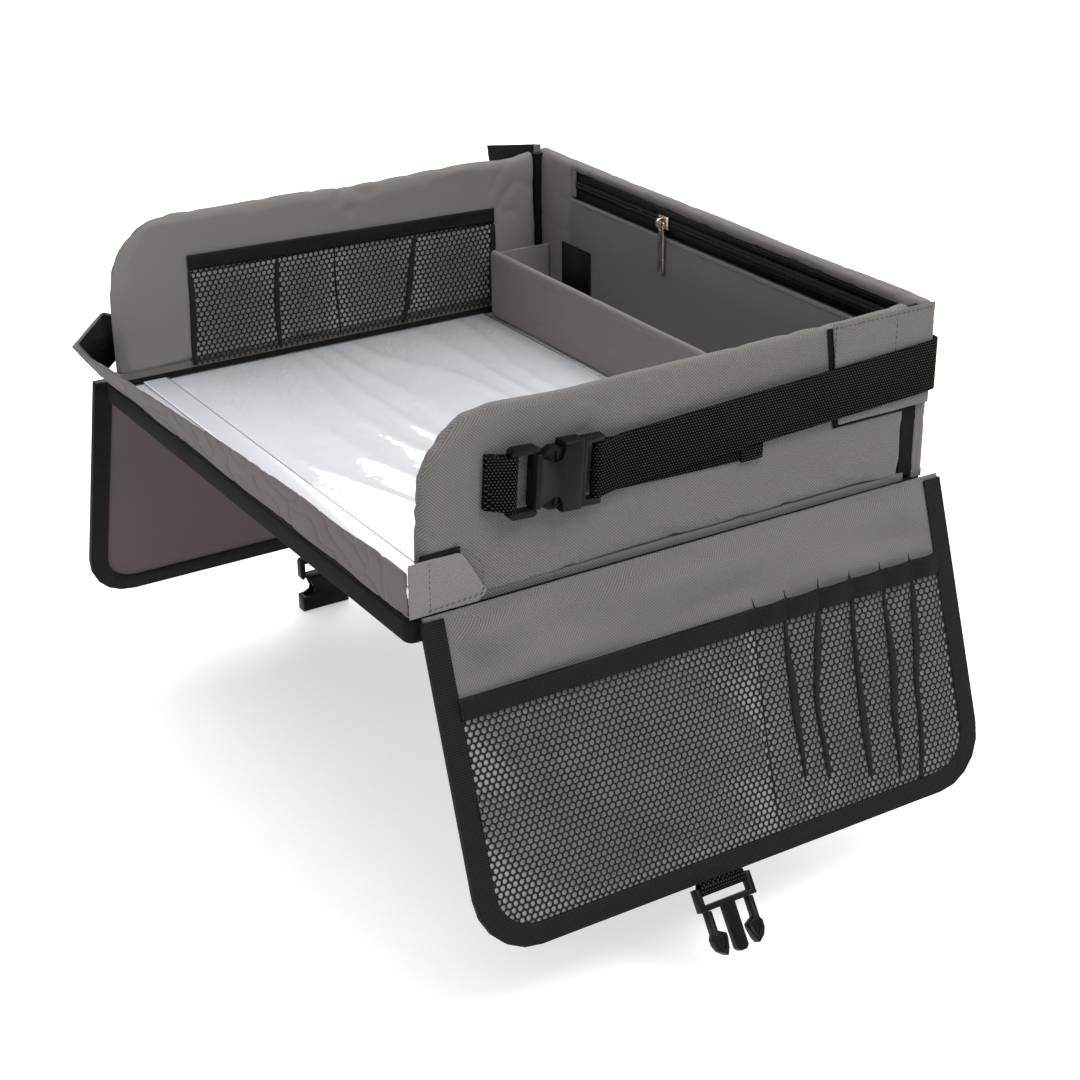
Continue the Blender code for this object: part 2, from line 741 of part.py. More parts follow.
def rear_tab_left():
    """Corner tab on the left wall, flat under the belt and flared above it, with its hook patch."""
    def surface(inner, first):
        def point(s, t):
            bent = max(0.0, t * 2 - 1)
            height = REAR_TAB_BOTTOM + (LEFT_TAB_BEND - REAR_TAB_BOTTOM) * min(1.0, t * 2)
            height += (WALL_HEIGHT - LEFT_TAB_BEND) * bent
            share = (first + (LEFT_TAB_COLUMNS - first) * s) / LEFT_TAB_COLUMNS
            along = REAR_TAB_SETBACK + (LEFT_TAB_LENGTH - REAR_TAB_SETBACK) * share
            turn = LEFT_TAB_FLARE * bent
            return Vector((-inner - along * math.sin(turn), REAR - along * math.cos(turn),
                           SEAM + height))
        return point

    bm = sheet(surface(TAB_MIDDLE, 0), LEFT_TAB_COLUMNS, LEFT_TAB_ROWS, TAB_THICKNESS, (1, 0, 0))
    new_object("rear_tab_left", bm, grey_fabric())
    inner = HALF_WIDTH + GAP + PATCH_THICKNESS / 2
    bm = sheet(surface(inner, 1), LEFT_TAB_COLUMNS - 1, LEFT_TAB_ROWS, PATCH_THICKNESS, (1, 0, 0))
    new_object("rear_tab_left_patch", bm, hook_and_loop())


def front_lip():
    """Low soft lip along the front: upright at the right end and flared out at the left."""
    hinge = pivot("lip_pivot", (0.0, LIP_FACE, SEAM))
    half = TAB_INNER - GAP
    section = rounded_rectangle(0.0, LIP_THICKNESS, GAP, LIP_HEIGHT, LIP_EDGE)
    rings = []
    for station in range(LIP_STATIONS + 1):
        share = station / LIP_STATIONS
        lean = LIP_LEAN_LEFT + (LIP_LEAN_RIGHT - LIP_LEAN_LEFT) * math.sin(share * math.pi / 2)
        turn = Matrix.Rotation(lean, 2)
        ring = []
        for u, v in section:
            leaned = turn @ Vector((u, v))
            ring.append(on_plane("yz", leaned.x, leaned.y, -half + half * 2 * share))
        rings.append(ring)
    new_object("front_lip", stacked(rings), inner_fabric(), hinge)
    return hinge


def lip_tab_corners():
    """End tab of the lip from its root: a slanted free end with soft corners."""
    return [
        (0.0, LIP_TAB_LOW, 0.0),
        (LIP_TAB_REACH - LIP_TAB_SHOULDER, LIP_TAB_LOW, LIP_TAB_LOW),
        (LIP_TAB_REACH, LIP_TAB_SHOULDER, LIP_TAB_SHOULDER / 3),
        (LIP_TAB_TOP_REACH, LIP_TAB_TOP, LIP_TAB_SHOULDER),
        (0.0, LIP_TAB_TOP, 0.0),
    ]


def lip_tabs(lip):
    """Right tab on its patch on the wall, and left tab standing off with its hooks bare."""
    right = pivot("lip_tab_right_pivot", (TAB_MIDDLE, 0.0, 0.0), lip)
    outline = rounded(lip_tab_corners())
    half = TAB_THICKNESS / 2
    new_object("lip_tab_right", panel(outline, -half, half, "yz", TAB_EDGE, 1), grey_fabric(), right)
    patch = rectangle(FRONT + WALL_EDGE, FRONT + LIP_TAB_TOP_REACH - LIP_LEDGE,
                      SEAM + LIP_TAB_LOW + WALL_EDGE, SEAM + LIP_TAB_TOP + PATCH_MARGIN)
    low = HALF_WIDTH + GAP
    new_object("wall_patch_right_front", panel(patch, low, low + PATCH_THICKNESS, "yz"),
               hook_and_loop())
    lean = Matrix.Rotation(LIP_LEAN_LEFT, 3, "X")
    splay = Matrix.Rotation(LEFT_TAB_SPLAY, 3, "Z")
    columns = [tuple(lean @ splay @ Vector(axis)) for axis in ((1, 0, 0), (0, 1, 0), (0, 0, 1))]
    left = pivot("lip_tab_left_pivot", (-TAB_MIDDLE, 0.0, 0.0), lip, columns)
    new_object("lip_tab_left", panel(outline, -half, half, "yz", TAB_EDGE, 1), grey_fabric(), left)
    rim = inset([(u, v) for u, v, radius in lip_tab_corners()], PATCH_MARGIN)
    hooks = [(max(u, LIP_THICKNESS + PATCH_MARGIN), v) for u, v in rim]
    inner = half + GAP
    new_object("lip_tab_left_patch", panel(hooks, inner, inner + PATCH_THICKNESS, "yz"),
               hook_and_loop(), left)


def divider():
    """Upright divider on its front bottom edge, with the end gusset that runs to the rear wall."""
    hinge = pivot("divider_pivot", (0.0, DIVIDER_FACE, COVER_TOP + GAP))
    foot = -COVER_THICKNESS - GAP
    outline = rounded_rectangle(DIVIDER_LEFT, DIVIDER_RIGHT, foot, DIVIDER_HEIGHT, DIVIDER_CORNER)
    new_object("divider_panel", panel(outline, 0.0, DIVIDER_THICKNESS, "xz", DIVIDER_EDGE, 1),
               grey_fabric(), hinge)
    root = DIVIDER_THICKNESS + GAP
    length = REAR_INNER - GUSSET_REAR_CLEARANCE - DIVIDER_FACE - root
    fold = pivot("gusset_pivot", (DIVIDER_LEFT + GUSSET_THICKNESS, root, 0.0), hinge)
    gusset_foot = SEAM - COVER_TOP - GAP

    def surface(s, t):
        bow = GUSSET_BOW * math.sin(math.pi * s) * (t - t * t / 2)
        return Vector((-GUSSET_THICKNESS / 2 - bow, length * s, gusset_foot + GUSSET_HEIGHT * t))

    new_object("divider_gusset", sheet(surface, 8, 3, GUSSET_THICKNESS, (1, 0, 0)),
               grey_fabric(), fold)


def side_pocket():
    """Mesh pocket on the inner face of the left wall, under a bound top edge."""
    start = FRONT + SIDE_POCKET_START
    width = REAR_INNER - SIDE_POCKET_TO_REAR - start
    face = -INNER_HALF + GAP
    low = SEAM + SIDE_POCKET_BOTTOM

    def top(along):
        return SIDE_POCKET_TOP_FRONT + (SIDE_POCKET_TOP_REAR - SIDE_POCKET_TOP_FRONT) * along / width

    height = SIDE_POCKET_TOP_FRONT - SIDE_BAND_HEIGHT - SIDE_POCKET_BOTTOM - GAP

    def place(u, v, w):
        room = top(u) - SIDE_BAND_HEIGHT - SIDE_POCKET_BOTTOM - GAP
        bag = SIDE_POCKET_BAG * math.sin(math.pi * u / width) * math.sin(math.pi * v / height)
        return Vector((face + w + bag, start + u, low + room * v / height))

    new_object("side_pocket_net", net(width, height, 0.0, place), black_mesh())
    band = [
        (start, SEAM + top(0.0) - SIDE_BAND_HEIGHT),
        (start + width, SEAM + top(width) - SIDE_BAND_HEIGHT),
        (start + width, SEAM + top(width)),
        (start, SEAM + top(0.0)),
    ]
    new_object("side_pocket_band", panel(band, face, face + BAND_THICKNESS, "yz"), black_binding())


def flap(prefix, side, start, length, tilt):
    """Hanging flap: stiff panel, bound rim, net pocket and its bound top edge."""
    middle = FRONT + start + FLAP_WIDTH / 2
    turn = Matrix.Rotation(-side * tilt, 3, "Y")
    columns = [tuple(turn @ Vector(axis)) for axis in ((1, 0, 0), (0, 1, 0), (0, 0, 1))]
    hinge = pivot(prefix + "_flap_pivot", (side * (HALF_WIDTH + FLAP_OFFSET), middle, SEAM),
                  None, columns)
    half = FLAP_WIDTH / 2
    wall = BINDING_WALL + GAP
    edge_half = half - wall
    bottom = -length + wall
    cloth = rounded([
        (-edge_half, -FLAP_TOP_SETBACK, FLAP_EDGE),
        (-edge_half, bottom, FLAP_CORNER - wall),
        (edge_half, bottom, FLAP_CORNER - wall),
        (edge_half, -FLAP_TOP_SETBACK, FLAP_EDGE),
    ])
    new_object(prefix + "_flap_panel", panel(cloth, -FLAP_THICKNESS / 2, FLAP_THICKNESS / 2, "yz"),
               grey_fabric(), hinge)
    new_object(prefix + "_flap_binding", flap_binding(half, length), black_binding(), hinge)
    new_object(prefix + "_flap_net", flap_net(half, length, side), black_mesh(), hinge)
    band_top = -FLAP_BAND_TOP
    band_half = half - BINDING_WIDTH - GAP
    band = rectangle(-band_half, band_half, band_top - FLAP_BAND_HEIGHT, band_top)
    face = FLAP_THICKNESS / 2 + GAP
    low = min(side * face, side * (face + BAND_THICKNESS))
    new_object(prefix + "_flap_band", panel(band, low, low + BAND_THICKNESS, "yz"),
               black_binding(), hinge)
    return hinge, middle


def flap_binding(half, length):
    """Folded tape round the two sides and the bottom, with round corners."""
    outer = FLAP_THICKNESS / 2 + GAP + BINDING_WALL
    slot = FLAP_THICKNESS / 2 + GAP
    section = [
        (0.0, -outer), (BINDING_WIDTH, -outer), (BINDING_WIDTH, -slot), (BINDING_WALL, -slot),
        (BINDING_WALL, slot), (BINDING_WIDTH, slot), (BINDING_WIDTH, outer), (0.0, outer),
    ]
    radius = FLAP_CORNER
    low = -length + radius
    path = [(-half, -FLAP_TOP_SETBACK)]
    path += arc((-half + radius, low), radius, math.pi, math.pi * 3 / 2, ARC_STEPS)
    path += arc((half - radius, low), radius, math.pi * 3 / 2, math.pi * 2, ARC_STEPS)
    path += [(half, -FLAP_TOP_SETBACK)]
    return sweep(path, section, "yz")


def flap_net(half, length, side):
    """Net of the flap's pocket, baggy over its large part and gathered over the pen pockets."""
    edge = half - BINDING_WIDTH - GAP
    width = edge * 2
    top = FLAP_BAND_TOP + FLAP_BAND_HEIGHT + GAP
    low = BINDING_WIDTH + GAP - length
    height = -top - low
    face = FLAP_THICKNESS / 2 + GAP
    pen_start = width * PEN_START_SHARE
    pen_width = (width - pen_start) / PEN_POCKETS

    def place(u, v, w):
        if u < pen_start:
            lift = FLAP_POCKET_BAG * math.sin(math.pi * u / pen_start)
        else:
            lift = PEN_PLEAT * abs(math.sin(math.pi * (u - pen_start) / pen_width))
        lift *= math.sin(math.pi * v / height)
        return Vector((side * (face + w + lift), u - edge, low + v))

    return net(width, height, FLAP_CORNER - BINDING_WIDTH - GAP, place)


def symmetric(half_outline):
    """Outline from its upper half, listed along the buckle, mirrored to the lower half."""
    return half_outline + [(along, -across) for along, across in reversed(half_outline)]


def male_frame(name, parent):
    """Frame of the male half: rails, slot for the webbing and the middle guide."""
    outline = symmetric([
        (-MALE_BASE, BUCKLE_HALF),
        (0.0, BUCKLE_HALF),
        (0.0, GUIDE_HALF),
        (GUIDE_REACH - GUIDE_HALF / 2, GUIDE_HALF),
        (GUIDE_REACH, GUIDE_HALF / 2),
    ])
    thick = MALE_THICKNESS / 2
    frame = new_object(name, panel(outline, -thick, thick, "xy", BUCKLE_EDGE, 1),
                       black_plastic(), parent)
    slot = rectangle(-MALE_BASE + BAR, -CROSSBAR, -SLOT_HALF, SLOT_HALF)
    shape(frame, name + "_slot", panel(slot, -MALE_THICKNESS, MALE_THICKNESS, "xy"), "DIFFERENCE")
    thin_bar(frame, -MALE_BASE, MALE_THICKNESS)


def thin_bar(frame, start, thickness):
    """Cuts the faces of a frame back to the thickness of its bar, between the rails."""
    zone = rectangle(start - CUT_OVERRUN, start + BAR + CUT_OVERRUN, -SLOT_HALF, SLOT_HALF)
    for face, level in (("_upper_relief", BAR_THICKNESS / 2),
                        ("_lower_relief", -BAR_THICKNESS / 2 - thickness)):
        relief = panel(zone, level, level + thickness, "xy")
        shape(frame, frame.name + face, relief, "DIFFERENCE")


def prong(name, parent, side):
    """Sprung side prong on its own axis at the mouth: thin arm, wide head, hollowed face."""
    hinge = pivot(name + "_pivot", (GAP, side * PRONG_AXIS, 0.0), parent)
    shoulder = PRONG_SHOULDER - GAP
    head = PRONG_REACH - PRONG_SHOULDER
    outline = [(0.0, side * -PRONG_ROOT_HALF), (0.0, side * PRONG_ROOT_HALF)]
    for along, across in zip(HEAD_OUTER_ALONG_SHARES + HEAD_INNER_ALONG_SHARES,
                             HEAD_OUTER_SHARES + HEAD_INNER_SHARES):
        outline.append((shoulder + head * along, side * PRONG_SPAN * across))
    thick = PRONG_THICKNESS / 2
    body = new_object(name, panel(outline, -thick, thick, "xy"), black_plastic(), hinge)
    hollow = [(shoulder + head * along, side * PRONG_SPAN * across)
              for along, across in zip(RECESS_ALONG_SHARES, RECESS_ACROSS_SHARES)]
    for face, low in (("_upper_hollow", thick - PRONG_RECESS),
                      ("_lower_hollow", -thick * 2)):
        cutter = panel(hollow, low, low + thick + PRONG_RECESS, "xy")
        shape(body, name + face, cutter, "DIFFERENCE")


def female_body(name, parent):
    """Waisted female half: open mouth, side openings, face windows and the webbing frame."""
    upper = []
    for along, waist in zip(FEMALE_ALONG_SHARES, FEMALE_WAIST_SHARES):
        across = BUCKLE_HALF + (FEMALE_WAIST - BUCKLE_HALF) * waist
        upper.append((GAP + FEMALE_BODY * along, across))
    thick = FEMALE_THICKNESS / 2
    body = new_object(name, panel(symmetric(upper), -thick, thick, "xy", BUCKLE_EDGE * 2, EDGE_STEPS),
                      black_plastic(), parent)
    rear = FEMALE_END + FEMALE_FRAME
    frame = rounded_rectangle(FEMALE_END - BAR, rear, -BUCKLE_HALF, BUCKLE_HALF, BAR)
    thin = FEMALE_FRAME_THICKNESS / 2
    shape(body, name + "_frame", panel(frame, -thin, thin, "xy"), "UNION")
    slot = rectangle(FEMALE_END + GAP, rear - BAR, -SLOT_HALF, SLOT_HALF)
    shape(body, name + "_slot", panel(slot, -thick, thick, "xy"), "DIFFERENCE")
    cavity = rectangle(-CUT_OVERRUN, CAVITY_DEPTH, -CAVITY_HALF, CAVITY_HALF)
    tall = CAVITY_HEIGHT / 2
    shape(body, name + "_cavity", panel(cavity, -tall, tall, "xy"), "DIFFERENCE")
    thin_bar(body, rear - BAR, FEMALE_THICKNESS)
    for label, side in (("_window_upper", 1), ("_window_lower", -1)):
        corners = [(FEMALE_BODY * along, side * BUCKLE_HALF * across)
                   for along, across in zip(WINDOW_ALONG_SHARES, WINDOW_ACROSS_SHARES)]
        window = panel(corners, -FEMALE_THICKNESS, FEMALE_THICKNESS, "xy")
        shape(body, name + label, window, "DIFFERENCE")


def strap_route(length):
    """Webbing down from the rim, round a bar at the origin and back, along -Z of the flap."""
    across = Vector((0, 1, 0))
    route = [(STRAP_SPREAD, length - GAP)]
    route += arc((0.0, 0.0), LOOP_RADIUS, 0.0, -math.pi, ARC_STEPS * 2)
    route += [(-STRAP_SPREAD, length - GAP)]
    return [(Vector((out, 0.0, up)), across) for out, up in route]


def flap_buckle(prefix, side, flap_hinge, rim, length, lift):
    """Sewn webbing loop under the flap's rim, and the buckle half that swings on it by its bar."""
    bar = (0.0, rim[1], rim[2] - length)
    strap = new_object(prefix + "_buckle_strap", ribbon(strap_route(length)), black_webbing(),
                       flap_hinge)
    strap.location = bar
    turn = Matrix.Rotation(-side * lift, 3, "Y")
    columns = [tuple(turn @ Vector(axis)) for axis in ((0, 0, -1), (0, side, 0), (side, 0, 0))]
    hang = pivot(prefix + "_buckle_pivot", bar, flap_hinge, columns)
    if side > 0:
        mouth = pivot(prefix + "_buckle_mouth", (-MALE_BAR, 0.0, 0.0), hang)
        male_frame(prefix + "_male_frame", mouth)
        prong(prefix + "_prong_rear", mouth, 1)
        prong(prefix + "_prong_front", mouth, -1)
    else:
        facing = [(-1, 0, 0), (0, -1, 0), (0, 0, 1)]
        mouth = pivot(prefix + "_buckle_mouth", (FEMALE_BAR, 0.0, 0.0), hang, facing)
        female_body(prefix + "_female_body", mouth)


def on_wall(along, out, level, slope):
    """Point on the right wall with the webbing's width direction for a slope along the wall."""
    across = Vector((0, -math.sin(slope), math.cos(slope)))
    return Vector((HALF_WIDTH + out, FRONT + along, SEAM + level)), across


def round_bar(bar, start, end):
    """Half turn of webbing round a bar of the belt's buckle; angle zero faces out of the wall."""
    forward = Vector((0, math.cos(BUCKLE_SLOPE), math.sin(BUCKLE_SLOPE)))
    mouth, across = on_wall(BUCKLE_MOUTH, BUCKLE_STANDOFF, BUCKLE_LEVEL, BUCKLE_SLOPE)
    centre = mouth + forward * bar
    turns = []
    for out, along in arc((0.0, 0.0), LOOP_RADIUS, start, end, ARC_STEPS * 2):
        turns.append((centre + Vector((out, 0, 0)) + forward * along, across))
    return turns


def belt_buckle():
    """Closed buckle on the right wall: the female half is in front, on the loop sewn to the wall."""
    columns = [(0, -math.cos(BUCKLE_SLOPE), -math.sin(BUCKLE_SLOPE)),
               (0, math.sin(BUCKLE_SLOPE), -math.cos(BUCKLE_SLOPE)), (1, 0, 0)]
    at, across = on_wall(BUCKLE_MOUTH, BUCKLE_STANDOFF, BUCKLE_LEVEL, BUCKLE_SLOPE)
    mouth = pivot("belt_buckle_mouth", at, None, columns)
    male_frame("belt_male_frame", mouth)
    prong("belt_prong_lower", mouth, 1)
    prong("belt_prong_upper", mouth, -1)
    female_body("belt_female_body", mouth)


def belt_anchor():
    """Short webbing loop, sewn to the wall, that carries the female half."""
    near = GAP + WEBBING_THICKNESS / 2
    route = [on_wall(ANCHOR_START, near + LAYER, ANCHOR_LEVEL, BUCKLE_SLOPE)]
    route += round_bar(-FEMALE_BAR, 0.0, math.pi)
    route += [on_wall(ANCHOR_START, near, ANCHOR_LEVEL, BUCKLE_SLOPE)]
    new_object("belt_anchor_loop", ribbon(route), black_webbing())


def belt():
    """One length of webbing from the left wall round the rear wall to the buckle and its tail."""
    upright = Vector((0, 0, 1))
    offset = HALF_WIDTH + BELT_STANDOFF + WEBBING_THICKNESS / 2
    rear = REAR + GAP + WEBBING_THICKNESS / 2
    left = SEAM + BELT_LEVEL_LEFT
    high = SEAM + BELT_LEVEL_REAR
    route = [(Vector((-NEAR_WALL, FRONT + BELT_LEFT_END, left)), upright),
             (Vector((-offset, FRONT + BELT_LEFT_END + BELT_LEFT_TAPER, left)), upright)]
    inside = offset - BELT_CORNER
    behind = rear - BELT_CORNER
    for x, y in arc((-inside, behind), BELT_CORNER, math.pi, math.pi / 2, ARC_STEPS):
        route.append((Vector((x, y, high)), upright))
    for x, y in arc((inside, behind), BELT_CORNER, math.pi / 2, 0.0, ARC_STEPS):
        route.append((Vector((x, y, high)), upright))
    bar = BUCKLE_MOUTH - MALE_BAR
    standoff = BELT_STANDOFF + WEBBING_THICKNESS / 2
    slack = BELT_LEVEL_REAR - math.tan(BELT_SLOPE) * BELT_SETTLE
    route.append(on_wall(DEPTH - BELT_SETTLE, standoff, slack, BELT_SLOPE))
    route.append(on_wall(bar + BELT_SETTLE, standoff, BELT_LEVEL_RIGHT, BELT_SLOPE))
    route += round_bar(-MALE_BAR, 0.0, -math.pi)
    near = GAP + WEBBING_THICKNESS / 2
    route.append(on_wall(bar + BELT_SETTLE, near, (BELT_LEVEL_RIGHT + TAIL_LEVEL) / 2, 0.0))
    middle = near + LAYER / 2
    for out, along in arc((middle, TAIL_END), LAYER / 2, math.pi, 0.0, ARC_STEPS):
        route.append(on_wall(along, out, TAIL_LEVEL, 0.0))
    route.append(on_wall(TAIL_END - HEM_FOLD, near + LAYER, TAIL_LEVEL, 0.0))
    new_object("belt_webbing", ribbon(route), black_webbing())


def build():
    for old in list(bpy.data.objects):
        bpy.data.objects.remove(old)
    base_board()
    drawing_surface()
    side_wall("side_wall_right", 1, RIGHT_WALL_SLIT)
    side_wall("side_wall_left", -1, LEFT_WALL_SLIT)
    rear_wall()
    zip_pocket()
    zip_slider()
    rear_loop_patch()
    rear_tab_right()
    rear_tab_left()
    lip_tabs(front_lip())
    divider()
    side_pocket()
    belt_buckle()
    belt_anchor()
    belt()
    hinge, middle = flap("right", 1, RIGHT_FLAP_START, RIGHT_FLAP_LENGTH, RIGHT_FLAP_TILT)
    rim = (0.0, FRONT + RIGHT_BUCKLE_AT - middle, -RIGHT_FLAP_LENGTH)
    flap_buckle("right", 1, hinge, rim, RIGHT_STRAP_LENGTH, RIGHT_BUCKLE_LIFT)
    hinge, middle = flap("left", -1, LEFT_FLAP_START, LEFT_FLAP_LENGTH, LEFT_FLAP_TILT)
    rim = (0.0, FRONT + LEFT_BUCKLE_AT - middle, -LEFT_FLAP_LENGTH)
    flap_buckle("left", -1, hinge, rim, LEFT_STRAP_LENGTH, -LEFT_FLAP_TILT)


build()
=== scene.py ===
"""Car seat tray table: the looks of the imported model, with its studio and its camera.

Metres, in the frame of the CAD model: +Z up, the child sits at -Y and the zip pocket is at +Y.
"""

import json
import logging
import math
from dataclasses import dataclass
from enum import Enum
from typing import Callable

import bmesh
import bpy
import numpy as np
from mathutils import Matrix, Vector, noise

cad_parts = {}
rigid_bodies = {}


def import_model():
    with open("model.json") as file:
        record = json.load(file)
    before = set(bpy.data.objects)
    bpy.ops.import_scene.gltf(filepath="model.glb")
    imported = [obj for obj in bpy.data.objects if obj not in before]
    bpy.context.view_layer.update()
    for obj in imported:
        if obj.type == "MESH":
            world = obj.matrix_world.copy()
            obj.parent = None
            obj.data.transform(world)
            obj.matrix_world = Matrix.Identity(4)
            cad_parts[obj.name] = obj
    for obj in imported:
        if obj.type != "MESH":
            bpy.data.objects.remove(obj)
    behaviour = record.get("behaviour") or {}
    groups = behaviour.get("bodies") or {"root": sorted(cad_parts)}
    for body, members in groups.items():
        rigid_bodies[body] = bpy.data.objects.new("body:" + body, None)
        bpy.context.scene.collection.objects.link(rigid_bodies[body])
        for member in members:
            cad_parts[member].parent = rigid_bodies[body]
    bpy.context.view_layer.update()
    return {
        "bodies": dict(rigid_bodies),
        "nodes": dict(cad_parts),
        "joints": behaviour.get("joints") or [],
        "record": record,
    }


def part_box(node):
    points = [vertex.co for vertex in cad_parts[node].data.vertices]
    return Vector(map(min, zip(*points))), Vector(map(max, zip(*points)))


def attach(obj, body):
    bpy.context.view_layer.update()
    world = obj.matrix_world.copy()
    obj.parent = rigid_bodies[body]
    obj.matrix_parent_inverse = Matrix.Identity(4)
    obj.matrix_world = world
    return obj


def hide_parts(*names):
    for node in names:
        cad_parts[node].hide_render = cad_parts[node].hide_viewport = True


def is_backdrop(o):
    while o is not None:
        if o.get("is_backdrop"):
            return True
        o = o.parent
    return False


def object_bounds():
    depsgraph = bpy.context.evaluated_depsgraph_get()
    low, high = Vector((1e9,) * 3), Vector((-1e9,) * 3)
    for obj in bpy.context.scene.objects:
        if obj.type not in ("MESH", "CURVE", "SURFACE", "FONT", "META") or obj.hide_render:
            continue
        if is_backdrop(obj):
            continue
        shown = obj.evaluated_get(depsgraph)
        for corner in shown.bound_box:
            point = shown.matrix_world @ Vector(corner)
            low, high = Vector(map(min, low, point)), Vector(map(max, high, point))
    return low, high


LOG = logging.getLogger("tray")
MM = 0.001
Colour = tuple[float, float, float]


class Side(Enum):
    """Side of the tray, as the sign of X."""

    RIGHT = 1
    LEFT = -1


class Weave(Enum):
    """How the yarns of a cloth lie."""

    TWILL = "twill"
    RIBBED = "ribbed"
    BASKET = "basket"
    PILE = "pile"


def srgb(red: int, green: int, blue: int) -> Colour:
    """Linear colour of an 8 bit screen colour."""
    def one(value: int) -> float:
        """Linear value of one channel."""
        share = value / 255
        return share / 12.92 if share <= 0.04045 else ((share + 0.055) / 1.055) ** 2.4
    return one(red), one(green), one(blue)


# --- node building ----------------------------------------------------------------------------


class Graph:
    """Short forms for building a node tree."""

    def __init__(self, tree: bpy.types.NodeTree) -> None:
        """Keeps the tree that the calls add to."""
        self.tree = tree

    def node(self, kind: str, inputs: dict | None = None, **settings: object) -> bpy.types.Node:
        """Adds a node.

        Args:
            kind: the node's type name.
            inputs: values or sockets by the input's name or number.
            settings: the node's own properties.

        Returns:
            The new node.
        """
        made = self.tree.nodes.new(kind)
        for key, value in settings.items():
            setattr(made, key, value)
        for key, value in (inputs or {}).items():
            if isinstance(value, bpy.types.NodeSocket):
                self.tree.links.new(value, made.inputs[key])
            else:
                made.inputs[key].default_value = value
        return made

    def math(self, operation: str, *values: object) -> bpy.types.NodeSocket:
        """Adds a Math node for numbers or sockets and returns its result."""
        made = self.node("ShaderNodeMath", dict(enumerate(values)), operation=operation)
        return made.outputs[0]

    def mix(self, share: object, first: object, second: object) -> bpy.types.NodeSocket:
        """Mixes two numbers by a share."""
        return self.math("ADD", self.math("MULTIPLY", first, self.math("SUBTRACT", 1.0, share)),
                         self.math("MULTIPLY", second, share))


